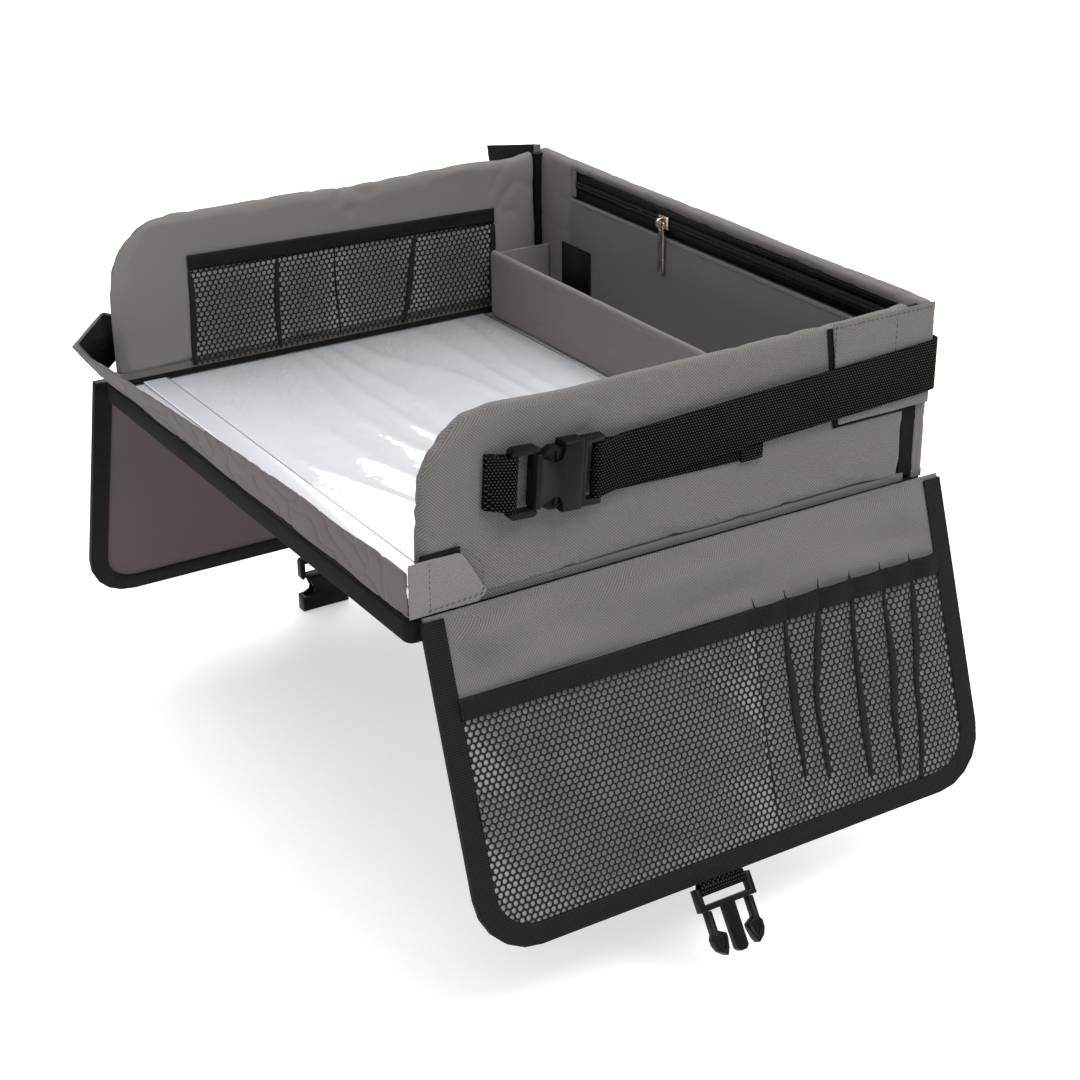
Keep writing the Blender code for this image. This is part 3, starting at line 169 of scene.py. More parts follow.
class ShaderGroups:
    """Effects that more than one material uses, each a node group built once."""

    def __init__(self) -> None:
        """Starts with no group built."""
        self.made: dict[str, bpy.types.NodeTree] = {}

    def group(self, name: str, inputs: list[str], outputs: list[str],
              fill: Callable[[Graph, bpy.types.Node, bpy.types.Node], None]) -> bpy.types.NodeTree:
        """Builds a group on first use.

        Args:
            name: the group's name.
            inputs: names of its number inputs.
            outputs: names of its number outputs.
            fill: builds the inside, given the graph, the input and the output node.

        Returns:
            The group.
        """
        if name not in self.made:
            tree = bpy.data.node_groups.new(name, "ShaderNodeTree")
            for socket in inputs:
                tree.interface.new_socket(socket, in_out="INPUT", socket_type="NodeSocketFloat")
            for socket in outputs:
                tree.interface.new_socket(socket, in_out="OUTPUT", socket_type="NodeSocketFloat")
            graph = Graph(tree)
            fill(graph, graph.node("NodeGroupInput"), graph.node("NodeGroupOutput"))
            self.made[name] = tree
        return self.made[name]

    def flat_coordinates(self) -> bpy.types.NodeTree:
        """Millimetres along and across the face, read square to its main axis, and its bend."""
        def fill(graph: Graph, _: bpy.types.Node, out: bpy.types.Node) -> None:
            """Builds the inside of the group."""
            coordinate = graph.node("ShaderNodeTexCoord")
            place = graph.node("ShaderNodeSeparateXYZ", {0: coordinate.outputs["Object"]})
            normal = graph.node("ShaderNodeSeparateXYZ", {0: coordinate.outputs["Normal"]})
            size = [graph.math("ABSOLUTE", normal.outputs[i]) for i in range(3)]
            side_on = graph.math("GREATER_THAN", size[0], graph.math("MAXIMUM", size[1], size[2]))
            top_on = graph.math("GREATER_THAN", size[2], graph.math("MAXIMUM", size[0], size[1]))
            millimetres = [graph.math("MULTIPLY", place.outputs[i], 1000.0) for i in range(3)]
            largest = graph.math("MAXIMUM", size[0], graph.math("MAXIMUM", size[1], size[2]))
            for name, value in (
                ("Along", graph.mix(side_on, millimetres[0], millimetres[1])),
                ("Across", graph.mix(top_on, millimetres[2], millimetres[1])),
                ("Bend", graph.math("SUBTRACT", 1.0, largest)),
            ):
                graph.tree.links.new(value, out.inputs[name])
        return self.group("flat_coordinates", [], ["Along", "Across", "Bend"], fill)

    def weave(self, kind: Weave) -> bpy.types.NodeTree:
        """Height from 0 to 1 of a cloth's yarns, for a pitch in millimetres."""
        fills = {Weave.TWILL: self.fill_twill, Weave.RIBBED: self.fill_ribs,
                 Weave.BASKET: self.fill_basket, Weave.PILE: self.fill_pile}
        return self.group("weave_" + kind.value, ["Along", "Across", "Pitch", "Turn"],
                          ["Height"], fills[kind])

    @staticmethod
    def wave(graph: Graph, value: object) -> bpy.types.NodeSocket:
        """A smooth wave from 0 to 1, one to each whole number."""
        sine = graph.math("SINE", graph.math("MULTIPLY", value, math.tau))
        return graph.math("MULTIPLY_ADD", sine, 0.5, 0.5)

    def fill_twill(self, graph: Graph, given: bpy.types.Node, out: bpy.types.Node) -> None:
        """Diagonal lines of short yarns, mirrored where Turn is 1."""
        sign = graph.math("MULTIPLY_ADD", given.outputs["Turn"], -2.0, 1.0)
        across = graph.math("MULTIPLY", given.outputs["Across"], sign)
        pitch = graph.math("MULTIPLY", given.outputs["Pitch"], math.sqrt(2))
        line = graph.math("DIVIDE", graph.math("ADD", given.outputs["Along"], across), pitch)
        yarn = graph.math("DIVIDE", graph.math("SUBTRACT", given.outputs["Along"], across), pitch)
        yarn = graph.math("MULTIPLY_ADD", graph.math("FLOOR", line), 0.37,
                          graph.math("MULTIPLY", yarn, 0.8))
        height = graph.math("MULTIPLY", self.wave(graph, line),
                            graph.math("MULTIPLY_ADD", self.wave(graph, yarn), 0.45, 0.55))
        graph.tree.links.new(height, out.inputs["Height"])

    def fill_ribs(self, graph: Graph, given: bpy.types.Node, out: bpy.types.Node) -> None:
        """Round ribs across the tape: along its length where Turn is 0."""
        value = graph.mix(given.outputs["Turn"], given.outputs["Along"], given.outputs["Across"])
        count = graph.math("MULTIPLY", graph.math("DIVIDE", value, given.outputs["Pitch"]), math.pi)
        height = graph.math("ABSOLUTE", graph.math("SINE", count))
        other = graph.mix(given.outputs["Turn"], given.outputs["Across"], given.outputs["Along"])
        fine = self.wave(graph, graph.math("DIVIDE", other, graph.math("MULTIPLY",
                                           given.outputs["Pitch"], 1.3)))
        height = graph.math("MULTIPLY", height, graph.math("MULTIPLY_ADD", fine, 0.3, 0.7))
        graph.tree.links.new(height, out.inputs["Height"])

    def fill_basket(self, graph: Graph, given: bpy.types.Node, out: bpy.types.Node) -> None:
        """Heavy webbing: round yarn crossings, each row half a step on from the last."""
        row = graph.math("DIVIDE", given.outputs["Across"], given.outputs["Pitch"])
        shift = graph.math("MULTIPLY", graph.math("FLOOR", row), 0.5)
        column = graph.math("ADD", graph.math("DIVIDE", given.outputs["Along"],
                                              graph.math("MULTIPLY", given.outputs["Pitch"], 1.1)),
                            shift)
        bumps = [graph.math("ABSOLUTE", graph.math("SINE", graph.math("MULTIPLY", value, math.pi)))
                 for value in (row, column)]
        height = graph.math("MULTIPLY", *bumps)
        graph.tree.links.new(height, out.inputs["Height"])

    def fill_pile(self, graph: Graph, given: bpy.types.Node, out: bpy.types.Node) -> None:
        """Short loops of a fastening patch."""
        spot = graph.node("ShaderNodeCombineXYZ", {
            0: graph.math("DIVIDE", given.outputs["Along"], given.outputs["Pitch"]),
            1: graph.math("DIVIDE", given.outputs["Across"], given.outputs["Pitch"])})
        cells = graph.node("ShaderNodeTexVoronoi", {"Vector": spot.outputs[0], "Scale": 1.0,
                                                    "Randomness": 1.0})
        height = graph.math("SUBTRACT", 1.0, cells.outputs["Distance"])
        graph.tree.links.new(height, out.inputs["Height"])

    def mottle(self) -> bpy.types.NodeTree:
        """Slow variation from -1 to 1 of a surface, for a size in millimetres."""
        def fill(graph: Graph, given: bpy.types.Node, out: bpy.types.Node) -> None:
            """Builds the inside of the group."""
            coordinate = graph.node("ShaderNodeTexCoord")
            scale = graph.math("DIVIDE", 1000.0, given.outputs["Size"])
            for name, factor, detail in (("Broad", 1.0, 3.0), ("Fine", 9.0, 2.0)):
                cloud = graph.node("ShaderNodeTexNoise", {
                    "Vector": coordinate.outputs["Object"],
                    "Scale": graph.math("MULTIPLY", scale, factor), "Detail": detail})
                value = graph.math("MULTIPLY_ADD", cloud.outputs[0], 2.0, -1.0)
                graph.tree.links.new(value, out.inputs[name])
        return self.group("mottle", ["Size"], ["Broad", "Fine"], fill)


GROUPS = ShaderGroups()


class Material:
    """A material under construction: its tree, its Principled shader and their links."""

    def __init__(self, name: str) -> None:
        """Starts a material with only its shader and output."""
        self.data = bpy.data.materials.new(name)
        self.data.use_nodes = True
        self.graph = Graph(self.data.node_tree)
        self.shader = self.data.node_tree.nodes["Principled BSDF"]
        self.output = self.data.node_tree.nodes["Material Output"]

    def group(self, tree: bpy.types.NodeTree, **inputs: object) -> bpy.types.Node:
        """Adds a shader node group with its inputs."""
        made = self.graph.node("ShaderNodeGroup", node_tree=tree)
        for key, value in inputs.items():
            if isinstance(value, bpy.types.NodeSocket):
                self.graph.tree.links.new(value, made.inputs[key])
            else:
                made.inputs[key].default_value = value
        return made

    def set(self, **values: object) -> None:
        """Sets or links the shader's inputs, with _ for a space in each name."""
        for key, value in values.items():
            socket = self.shader.inputs[key.replace("_", " ")]
            if isinstance(value, bpy.types.NodeSocket):
                self.graph.tree.links.new(value, socket)
            else:
                socket.default_value = value

    def tinted(self, colour: Colour, value: object) -> bpy.types.NodeSocket:
        """The colour times a number."""
        made = self.graph.node("ShaderNodeVectorMath", {0: colour, 3: value}, operation="SCALE")
        return made.outputs[0]

    def bump(self, height: object, distance: float, normal: object = None) -> bpy.types.NodeSocket:
        """A normal bent by a height map of that depth in metres."""
        inputs = {"Height": height, "Distance": distance, "Strength": 1.0}
        if normal is not None:
            inputs["Normal"] = normal
        return self.graph.node("ShaderNodeBump", inputs).outputs[0]


@dataclass(frozen=True)
class Cloth:
    """Woven finish: colour, weave and pitch in millimetres, and how worn or deep it looks, with a
    painted highlight on yarn tops and painted shade in the gaps.
    """

    name: str
    colour: Colour
    weave: Weave = Weave.TWILL
    pitch: float = 1.25
    relief: float = 0.00022
    shade: float = 0.34
    yarn_top_highlight: float = 1.9
    contrast: float = 1.0
    mottle: float = 0.07
    mottle_size: float = 60.0
    roughness: float = 0.82
    sheen: float = 0.08
    specular: float = 0.3
    turn: float = 0.0
    turns_at_bends: bool = False

    def build(self) -> bpy.types.Material:
        """Builds the material and returns it."""
        made = Material(self.name)
        graph = made.graph
        flat = made.group(GROUPS.flat_coordinates())
        turn = self.turn
        if self.turns_at_bends:
            bent = graph.math("GREATER_THAN", flat.outputs["Bend"], 0.045)
            turn = graph.math("ABSOLUTE", graph.math("SUBTRACT", bent, self.turn))
        clouds = made.group(GROUPS.mottle(), Size=self.mottle_size)
        along = graph.math("MULTIPLY_ADD", clouds.outputs["Fine"], 0.25, flat.outputs["Along"])
        yarns = made.group(GROUPS.weave(self.weave), Along=along, Across=flat.outputs["Across"],
                           Pitch=self.pitch, Turn=turn)
        height = yarns.outputs["Height"]
        # Colour follows the yarn height: tops painted lighter and gaps painted darker, a painted
        # highlight and painted shade of the weave.
        light = graph.math("MULTIPLY_ADD", graph.math("POWER", height, self.contrast),
                           self.shade * self.yarn_top_highlight, 1.0 - self.shade)
        cloud = graph.math("ADD", graph.math("MULTIPLY", clouds.outputs["Broad"], self.mottle),
                           graph.math("MULTIPLY", clouds.outputs["Fine"], self.mottle * 0.6))
        light = graph.math("MULTIPLY", light, graph.math("ADD", 1.0, cloud))
        rough = graph.math("MULTIPLY_ADD", clouds.outputs["Fine"], 0.06, self.roughness)
        made.set(Base_Color=made.tinted(self.colour, light), Roughness=rough,
                 Normal=made.bump(height, self.relief), Sheen_Weight=self.sheen,
                 Sheen_Roughness=0.5, Specular_IOR_Level=self.specular)
        return made.data


@dataclass(frozen=True)
class Moulded:
    """Moulded plastic with a fine grain."""

    name: str
    colour: Colour
    roughness: float = 0.40
    grain: float = 0.00003
    specular: float = 0.3

    def build(self) -> bpy.types.Material:
        """Builds the material and returns it."""
        made = Material(self.name)
        clouds = made.group(GROUPS.mottle(), Size=5.0)
        rough = made.graph.math("MULTIPLY_ADD", clouds.outputs["Broad"], 0.07, self.roughness)
        light = made.graph.math("MULTIPLY_ADD", clouds.outputs["Broad"], 0.15, 1.0)
        made.set(Base_Color=made.tinted(self.colour, light), Roughness=rough,
                 Normal=made.bump(clouds.outputs["Fine"], self.grain),
                 Specular_IOR_Level=self.specular)
        return made.data


@dataclass(frozen=True)
class Metal:
    """Plated zinc, brushed by wear."""

    name: str
    colour: Colour
    roughness: float = 0.22

    def build(self) -> bpy.types.Material:
        """Builds the material and returns it."""
        made = Material(self.name)
        clouds = made.group(GROUPS.mottle(), Size=8.0)
        rough = made.graph.math("MULTIPLY_ADD", clouds.outputs["Fine"], 0.10, self.roughness)
        light = made.graph.math("MULTIPLY_ADD", clouds.outputs["Broad"], 0.12, 1.0)
        made.set(Base_Color=made.tinted(self.colour, light), Roughness=rough, Metallic=1.0,
                 Normal=made.bump(clouds.outputs["Fine"], 0.00002))
        return made.data


@dataclass(frozen=True)
class Laminate:
    """Smooth white board or welded vinyl hem."""

    name: str
    colour: Colour
    roughness: float = 0.35
    coat: float = 0.0
    glow: float = 0.0

    def build(self) -> bpy.types.Material:
        """Builds the material and returns it."""
        made = Material(self.name)
        clouds = made.group(GROUPS.mottle(), Size=90.0)
        light = made.graph.math("MULTIPLY_ADD", clouds.outputs["Broad"], 0.025, 1.0)
        rough = made.graph.math("MULTIPLY_ADD", clouds.outputs["Fine"], 0.05, self.roughness)
        made.set(Base_Color=made.tinted(self.colour, light), Roughness=rough,
                 Coat_Weight=self.coat, Coat_Roughness=0.06,
                 Emission_Color=(1.0, 1.0, 1.0, 1.0), Emission_Strength=self.glow,
                 Normal=made.bump(clouds.outputs["Fine"], 0.00003))
        return made.data


@dataclass(frozen=True)
class ClearVinyl:
    """Clear sheet: what lies below shows, under a sharp reflection and a faint haze."""

    name: str
    haze: float = 0.12

    def build(self) -> bpy.types.Material:
        """Builds the material and returns it."""
        made = Material(self.name)
        graph = made.graph
        clouds = made.group(GROUPS.mottle(), Size=40.0)
        normal = made.bump(clouds.outputs["Broad"], 0.0004)
        made.set(Base_Color=(0.93, 0.94, 0.96, 1.0), Metallic=1.0, Roughness=0.05, Normal=normal)
        clear = graph.node("ShaderNodeBsdfTransparent", {"Color": (0.96, 0.965, 0.97, 1.0)})
        fresnel = graph.node("ShaderNodeFresnel", {"IOR": 1.52, "Normal": normal})
        behind = graph.node("ShaderNodeNewGeometry").outputs["Backfacing"]
        front = graph.math("SUBTRACT", 1.0, behind)
        share = graph.math("MULTIPLY_ADD", clouds.outputs["Fine"], 0.02, fresnel.outputs[0])
        share = graph.math("MULTIPLY", graph.math("ADD", share, 0.01), front)
        milk = graph.node("ShaderNodeBsdfDiffuse", {"Color": (0.90, 0.91, 0.93, 1.0),
                                                    "Normal": normal})
        body = graph.node("ShaderNodeMixShader", {0: self.haze, 1: clear.outputs[0],
                                                  2: milk.outputs[0]})
        both = graph.node("ShaderNodeMixShader", {0: share, 1: body.outputs[0],
                                                  2: made.shader.outputs[0]})
        graph.tree.links.new(both.outputs[0], made.output.inputs["Surface"])
        return made.data


class Finishes:
    """Every material of the object, each built once and kept by name."""

    KINDS = (
        Cloth("grey_oxford", srgb(95, 92, 90), turns_at_bends=True, shade=0.36),
        Cloth("grey_oxford_mirrored", srgb(112, 108, 106), turn=1.0, pitch=1.15, shade=0.36),
        Cloth("grey_lining", srgb(104, 100, 98), pitch=0.6, relief=0.00006, shade=0.07,
              mottle=0.06),
        # Lighter copy of the wall and flap cloth, used under the mesh pockets: painted light
        # against the shade there.
        Cloth("grey_behind_net", srgb(133, 130, 124), pitch=0.7, relief=0.00006, shade=0.10,
              mottle=0.35, mottle_size=75.0),
        Cloth("inner_oxford", srgb(105, 98, 98), pitch=0.7, relief=0.00010, shade=0.12,
              mottle=0.05),
        # Darker copy of inner_oxford for the lip: painted shade.
        Cloth("lip_oxford", srgb(86, 79, 79), pitch=0.7, relief=0.00010, shade=0.12,
              mottle=0.08),
        Cloth("pocket_oxford", srgb(90, 86, 87), pitch=0.7, relief=0.00010, shade=0.12,
              mottle=0.05),
        Cloth("lining", srgb(85, 75, 74), pitch=0.6, relief=0.00006, shade=0.06, mottle=0.06),
        Cloth("black_oxford", srgb(18, 17, 16), pitch=0.9, shade=0.3, mottle=0.12, sheen=0.0,
              specular=0.10),
        Cloth("black_binding", srgb(19, 18, 15), Weave.RIBBED, pitch=1.35, relief=0.00030,
              shade=0.8, yarn_top_highlight=2.1, contrast=1.5, mottle=0.10, roughness=0.70, sheen=0.0,
              specular=0.12),
        Cloth("black_binding_upright", srgb(19, 18, 15), Weave.RIBBED, pitch=1.35,
              relief=0.00030, shade=0.8, yarn_top_highlight=2.1, contrast=1.5, mottle=0.10, roughness=0.70,
              turn=1.0, sheen=0.0, specular=0.12),
        Cloth("zip_tape", srgb(20, 18, 17), Weave.RIBBED, pitch=1.9, relief=0.00030, shade=0.7,
              turn=1.0, roughness=0.75, sheen=0.0, specular=0.15),
        # Strong lightening of the yarn tops: the webbing's bright specks are a painted highlight,
        # with specular kept low.
        Cloth("black_webbing", srgb(33, 31, 26), Weave.BASKET, pitch=1.6, relief=0.0006,
              shade=0.97, yarn_top_highlight=4.2, contrast=4.0, mottle=0.15, roughness=0.75, sheen=0.0,
              specular=0.04),
        Cloth("mesh_strand", srgb(20, 19, 16), Weave.TWILL, pitch=0.5, relief=0.00010,
              shade=0.25, roughness=0.75, sheen=0.0, specular=0.2),
        Cloth("loop_pile", srgb(20, 18, 17), Weave.PILE, pitch=0.7, relief=0.00035, shade=0.35,
              roughness=0.9, sheen=0.0, specular=0.1),
        Cloth("grey_thread", srgb(128, 124, 122), pitch=0.4, relief=0.00005, shade=0.2),
        Cloth("dark_thread", srgb(58, 55, 55), pitch=0.4, relief=0.00005, shade=0.2),
        Cloth("black_thread", srgb(18, 17, 16), pitch=0.4, relief=0.00005, shade=0.2, sheen=0.0),
        Moulded("black_plastic", srgb(15, 14, 12), specular=0.10),
        Moulded("zip_coil", srgb(24, 22, 21), roughness=0.34),
        Metal("nickel", srgb(214, 200, 186)),
        Laminate("white_board", srgb(226, 226, 229)),
        Laminate("white_hem", srgb(238, 240, 246), roughness=0.22, coat=0.8),
        ClearVinyl("clear_vinyl"),
        Laminate("studio_floor", srgb(226, 226, 226), roughness=0.9, glow=0.42),
    )

    def __init__(self) -> None:
        """Starts with nothing built."""
        self.kinds = {kind.name: kind for kind in self.KINDS}
        self.built: dict[str, bpy.types.Material] = {}

    def get(self, name: str) -> bpy.types.Material:
        """The material of that name, built on first use."""
        if name not in self.built:
            self.built[name] = self.kinds[name].build()
        return self.built[name]


FINISHES = Finishes()


# --- mesh building ----------------------------------------------------------------------------


def new_piece(name: str, verts: np.ndarray, faces: list, finish: str) -> bpy.types.Object:
    """Makes a smooth mesh object at the origin.

    Args:
        name: the piece's name.
        verts: its points, one row each.
        faces: point numbers of each face.
        finish: the name of its material.

    Returns:
        The new object.
    """
    mesh = bpy.data.meshes.new(name)
    mesh.from_pydata([tuple(v) for v in np.asarray(verts, dtype=float)], [], faces)
    mesh.update()
    for polygon in mesh.polygons:
        polygon.use_smooth = True
    return link_piece(name, mesh, finish)


def link_piece(name: str, mesh: bpy.types.Mesh, finish: str) -> bpy.types.Object:
    """Puts a mesh in the scene under a name, with its material."""
    mesh.materials.clear()
    mesh.materials.append(FINISHES.get(finish))
    made = bpy.data.objects.new(name, mesh)
    bpy.context.scene.collection.objects.link(made)
    return made


def merged_mesh(node: bpy.types.Object) -> bpy.types.Mesh:
    """A copy of a CAD node's mesh, with its loose triangles joined into whole faces."""
    bm = bmesh.new()
    bm.from_mesh(node.data)
    bmesh.ops.remove_doubles(bm, verts=bm.verts, dist=1e-6)
    bmesh.ops.dissolve_limit(bm, angle_limit=math.radians(0.5), verts=bm.verts, edges=bm.edges)
    bmesh.ops.recalc_face_normals(bm, faces=bm.faces)
    mesh = bpy.data.meshes.new(node.name + "_merged")
    bm.to_mesh(mesh)
    bm.free()
    return mesh


def applied(piece: bpy.types.Object) -> bpy.types.Object:
    """Turns what the modifiers make into the piece's own mesh, and removes them."""
    graph = bpy.context.evaluated_depsgraph_get()
    graph.update()
    mesh = bpy.data.meshes.new_from_object(piece.evaluated_get(graph), depsgraph=graph)
    old = piece.data
    piece.modifiers.clear()
    piece.data = mesh
    mesh.name = piece.name
    bpy.data.meshes.remove(old)
    return piece


def shade_smooth(piece: bpy.types.Object) -> bpy.types.Object:
    """Smooth shading on every face."""
    piece.data.polygons.foreach_set("use_smooth", [True] * len(piece.data.polygons))
    piece.data.update()
    return piece


def get_points(piece: bpy.types.Object) -> np.ndarray:
    """The points of a mesh piece, one row each."""
    data = np.empty(len(piece.data.vertices) * 3)
    piece.data.vertices.foreach_get("co", data)
    return data.reshape(-1, 3)


def set_points(piece: bpy.types.Object, points: np.ndarray) -> None:
    """Moves the points of a mesh piece."""
    piece.data.vertices.foreach_set("co", np.ascontiguousarray(points).ravel())
    piece.data.update()


def get_normals(piece: bpy.types.Object) -> np.ndarray:
    """The normal at each point of a mesh piece."""
    data = np.empty(len(piece.data.vertices) * 3)
    piece.data.vertex_normals.foreach_get("vector", data)
    return data.reshape(-1, 3)


def cloud(points: np.ndarray, size: tuple[float, float, float], seed: float) -> np.ndarray:
    """Smooth noise from about -1 to 1 at each point, with lumps of that size along each axis."""
    scale = np.array([1 / s for s in size])
    moved = points * scale + seed
    return np.array([noise.noise(Vector(row)) for row in moved]) * 1.6


@dataclass(frozen=True)
class Softness:
    """How a padded solid is softened.

    Voxel and cap are lengths; valley is the depth of its soft dents and lumps their size.
    Lining is the material of the faces that look inward. Each focus (y, z, size, gain) marks
    where the creases are deeper.
    """

    voxel: float
    smoothing: int = 3
    valley: float = 0.0
    lumps: tuple[float, float, float] = (0.05, 0.05, 0.05)
    seed: float = 3.1
    pressure: float = 0.0
    cap: float = 0.002
    swell: float = 0.0003
    subdivide: bool = False
    lining: str = ""
    inward: tuple[float, float, float] = (0.0, 0.0, 0.0)
    focus: tuple[tuple[float, float, float, float], ...] = ()


class Pad:
    """A padded copy of a CAD solid: remeshed, blown up by cloth pressure, dented and smoothed."""

    FRAMES = 20
    CREASE_START = 0.80
    CREASE_GAIN = 4.0
    LINING_FACING = 0.4

    def __init__(self, node: bpy.types.Object, name: str, finish: str, soft: Softness) -> None:
        """Keeps the CAD node, the piece's name and finish, and how soft it is."""
        self.node, self.name, self.finish, self.soft = node, name, finish, soft

    def build(self) -> bpy.types.Object:
        """Builds the piece and returns it."""
        piece = link_piece(self.name, merged_mesh(self.node), self.finish)
        remesh = piece.modifiers.new("remesh", "REMESH")
        remesh.mode, remesh.voxel_size = "VOXEL", self.soft.voxel
        applied(piece)
        if self.soft.pressure:
            self.inflate(piece)
        self.smooth(piece)
        self.dent(piece)
        if self.soft.subdivide:
            modifier = piece.modifiers.new("finer", "SUBSURF")
            modifier.levels = modifier.render_levels = 1
            applied(piece)
        self.keep_in_box(piece)
        piece.data.materials.clear()
        piece.data.materials.append(FINISHES.get(self.finish))
        if self.soft.lining:
            self.line(piece)
        shade_smooth(piece)
        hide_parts(self.node.name)
        return piece

    def inflate(self, piece: bpy.types.Object) -> None:
        """Blows the piece up as closed cloth and caps how far each point moves."""
        before = get_points(piece)
        modifier = piece.modifiers.new("air", "CLOTH")
        settings = modifier.settings
        settings.quality, settings.mass = 5, 0.3
        settings.use_pressure, settings.uniform_pressure_force = True, self.soft.pressure
        settings.tension_stiffness = settings.compression_stiffness = 20
        settings.effector_weights.gravity = 0.0
        modifier.point_cache.frame_start, modifier.point_cache.frame_end = 1, self.FRAMES
        for frame in range(1, self.FRAMES + 1):
            bpy.context.scene.frame_set(frame)
        applied(piece)
        bpy.context.scene.frame_set(1)
        moved = get_points(piece) - before
        length = np.maximum(np.linalg.norm(moved, axis=1, keepdims=True), 1e-9)
        set_points(piece, before + moved * np.minimum(1.0, self.soft.cap / length))

    def smooth(self, piece: bpy.types.Object) -> None:
        """Evens out the voxel steps."""
        bm = bmesh.new()
        bm.from_mesh(piece.data)
        for _ in range(self.soft.smoothing):
            bmesh.ops.smooth_vert(bm, verts=bm.verts, factor=0.5, use_axis_x=True,
                                  use_axis_y=True, use_axis_z=True)
        bm.to_mesh(piece.data)
        bm.free()

    def dent(self, piece: bpy.types.Object) -> None:
        """Presses soft dents and a few creases into the piece."""
        if not self.soft.valley:
            return
        points, normals = get_points(piece), get_normals(piece)
        broad = cloud(points, self.soft.lumps, self.soft.seed)
        half = tuple(s * 0.42 for s in self.soft.lumps)
        crease = 1 - np.abs(cloud(points, half, self.soft.seed + 5))
        depth = np.clip(0.5 - broad * 0.8, 0, 1.2) + self.CREASE_GAIN * np.clip(
            crease - self.CREASE_START, 0, 1)
        for y, z, size, gain in self.soft.focus:
            away = ((points[:, 1] - y) ** 2 + (points[:, 2] - z) ** 2) / size ** 2
            depth = depth * (1 + gain * np.exp(-away))
        set_points(piece, points - normals * (depth * self.soft.valley)[:, None])

    def line(self, piece: bpy.types.Object) -> None:
        """Gives the faces that look inward the lining's material."""
        piece.data.materials.append(FINISHES.get(self.soft.lining))
        inward = Vector(self.soft.inward)
        for polygon in piece.data.polygons:
            polygon.material_index = int(polygon.normal.dot(inward) > self.LINING_FACING)

    def keep_in_box(self, piece: bpy.types.Object) -> None:
        """Keeps the piece inside its CAD node's box, but for a little swelling."""
        low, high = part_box(self.node.name)
        points = get_points(piece)
        set_points(piece, np.clip(points, np.array(low) - self.soft.swell,
                                  np.array(high) + self.soft.swell))


def rounded_copy(node: bpy.types.Object, name: str, finish: str, radius: float,
                 segments: int = 2) -> bpy.types.Object:
    """A copy of a rigid or flat CAD solid with rounded edges.

    Args:
        node: the CAD node that it replaces.
        name: the piece's name.
        finish: the name of its material.
        radius: the radius of its edges.
        segments: faces across each rounded edge.

    Returns:
        The new piece.
    """
    piece = link_piece(name, merged_mesh(node), finish)
    bevel = piece.modifiers.new("edges", "BEVEL")
    bevel.width, bevel.segments, bevel.limit_method = radius, segments, "ANGLE"
    bevel.angle_limit, bevel.harden_normals = math.radians(28), True
    applied(piece)
    shade_smooth(piece)
    piece.data.materials.clear()
    piece.data.materials.append(FINISHES.get(finish))
    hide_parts(node.name)
    return piece


def closed_sheet(name: str, points: np.ndarray, thickness: float, finish: str,
                 back: str | None = None) -> bpy.types.Object:
    """A thin closed sheet over a grid of points.

    Args:
        name: the piece's name.
        points: rows by columns by 3, its middle surface.
        thickness: the cloth's thickness.
        finish: the material of its front, towards which the grid's normals point.
        back: the material of its back, where it differs.

    Returns:
        The new piece.
    """
    rows, columns = points.shape[:2]
    normals = np.cross(np.gradient(points, axis=0), np.gradient(points, axis=1))
    normals /= np.maximum(np.linalg.norm(normals, axis=2, keepdims=True), 1e-12)
    front = (points + normals * thickness / 2).reshape(-1, 3)
    rear = (points - normals * thickness / 2).reshape(-1, 3)
    count = rows * columns
    faces = []
    for r in range(rows - 1):
        for c in range(columns - 1):
            a, b = r * columns + c, (r + 1) * columns + c
            faces.append((a, b, b + 1, a + 1))
    fronts = len(faces)
    faces += [tuple(count + i for i in reversed(face)) for face in faces]
    rim = [c for c in range(columns)]
    rim += [r * columns + columns - 1 for r in range(1, rows)]
    rim += [(rows - 1) * columns + c for c in range(columns - 2, -1, -1)]
    rim += [r * columns for r in range(rows - 2, 0, -1)]
    for first, second in zip(rim, rim[1:] + rim[:1]):
        faces.append((first, second, second + count, first + count))
    piece = new_piece(name, np.vstack([front, rear]), faces, finish)
    if back:
        piece.data.materials.append(FINISHES.get(back))
        for polygon in piece.data.polygons[fronts:fronts * 2]:
            polygon.material_index = 1
    return piece


def ribbon(name: str, path: np.ndarray, across: np.ndarray, out: np.ndarray, width: np.ndarray,
           height: float, finish: str) -> bpy.types.Object:
    """A half round strip that lies on a surface: a fold, a seam or a bar tack.

    Args:
        name: the piece's name.
        path: the points that it follows.
        across: the direction of its width at each point.
        out: the direction away from the surface.
        width: its width at each point.
        height: its height at its middle.
        finish: the name of its material.

    Returns:
        The new piece.
    """
    steps = 7
    angles = np.linspace(0, math.pi, steps)
    ends = np.sin(np.linspace(0, math.pi, len(path))) ** 0.25
    verts = []
    for i, spot in enumerate(path):
        for angle in angles:
            verts.append(spot + across[i] * width[i] / 2 * math.cos(angle) * max(ends[i], 0.2)
                         + out[i] * (height * math.sin(angle) * max(ends[i], 0.1) - 0.0002))
    faces = []
    for i in range(len(path) - 1):
        for j in range(steps):
            k = (j + 1) % steps
            faces.append((i * steps + j, i * steps + k, (i + 1) * steps + k, (i + 1) * steps + j))
    faces += [tuple(range(steps - 1, -1, -1)),
              tuple(range((len(path) - 1) * steps, len(path) * steps))]
    piece = new_piece(name, np.array(verts), faces, finish)
    bm = bmesh.new()
    bm.from_mesh(piece.data)
    bmesh.ops.recalc_face_normals(bm, faces=bm.faces)
    bm.to_mesh(piece.data)
    bm.free()
    return piece


# --- geometry nodes ---------------------------------------------------------------------------


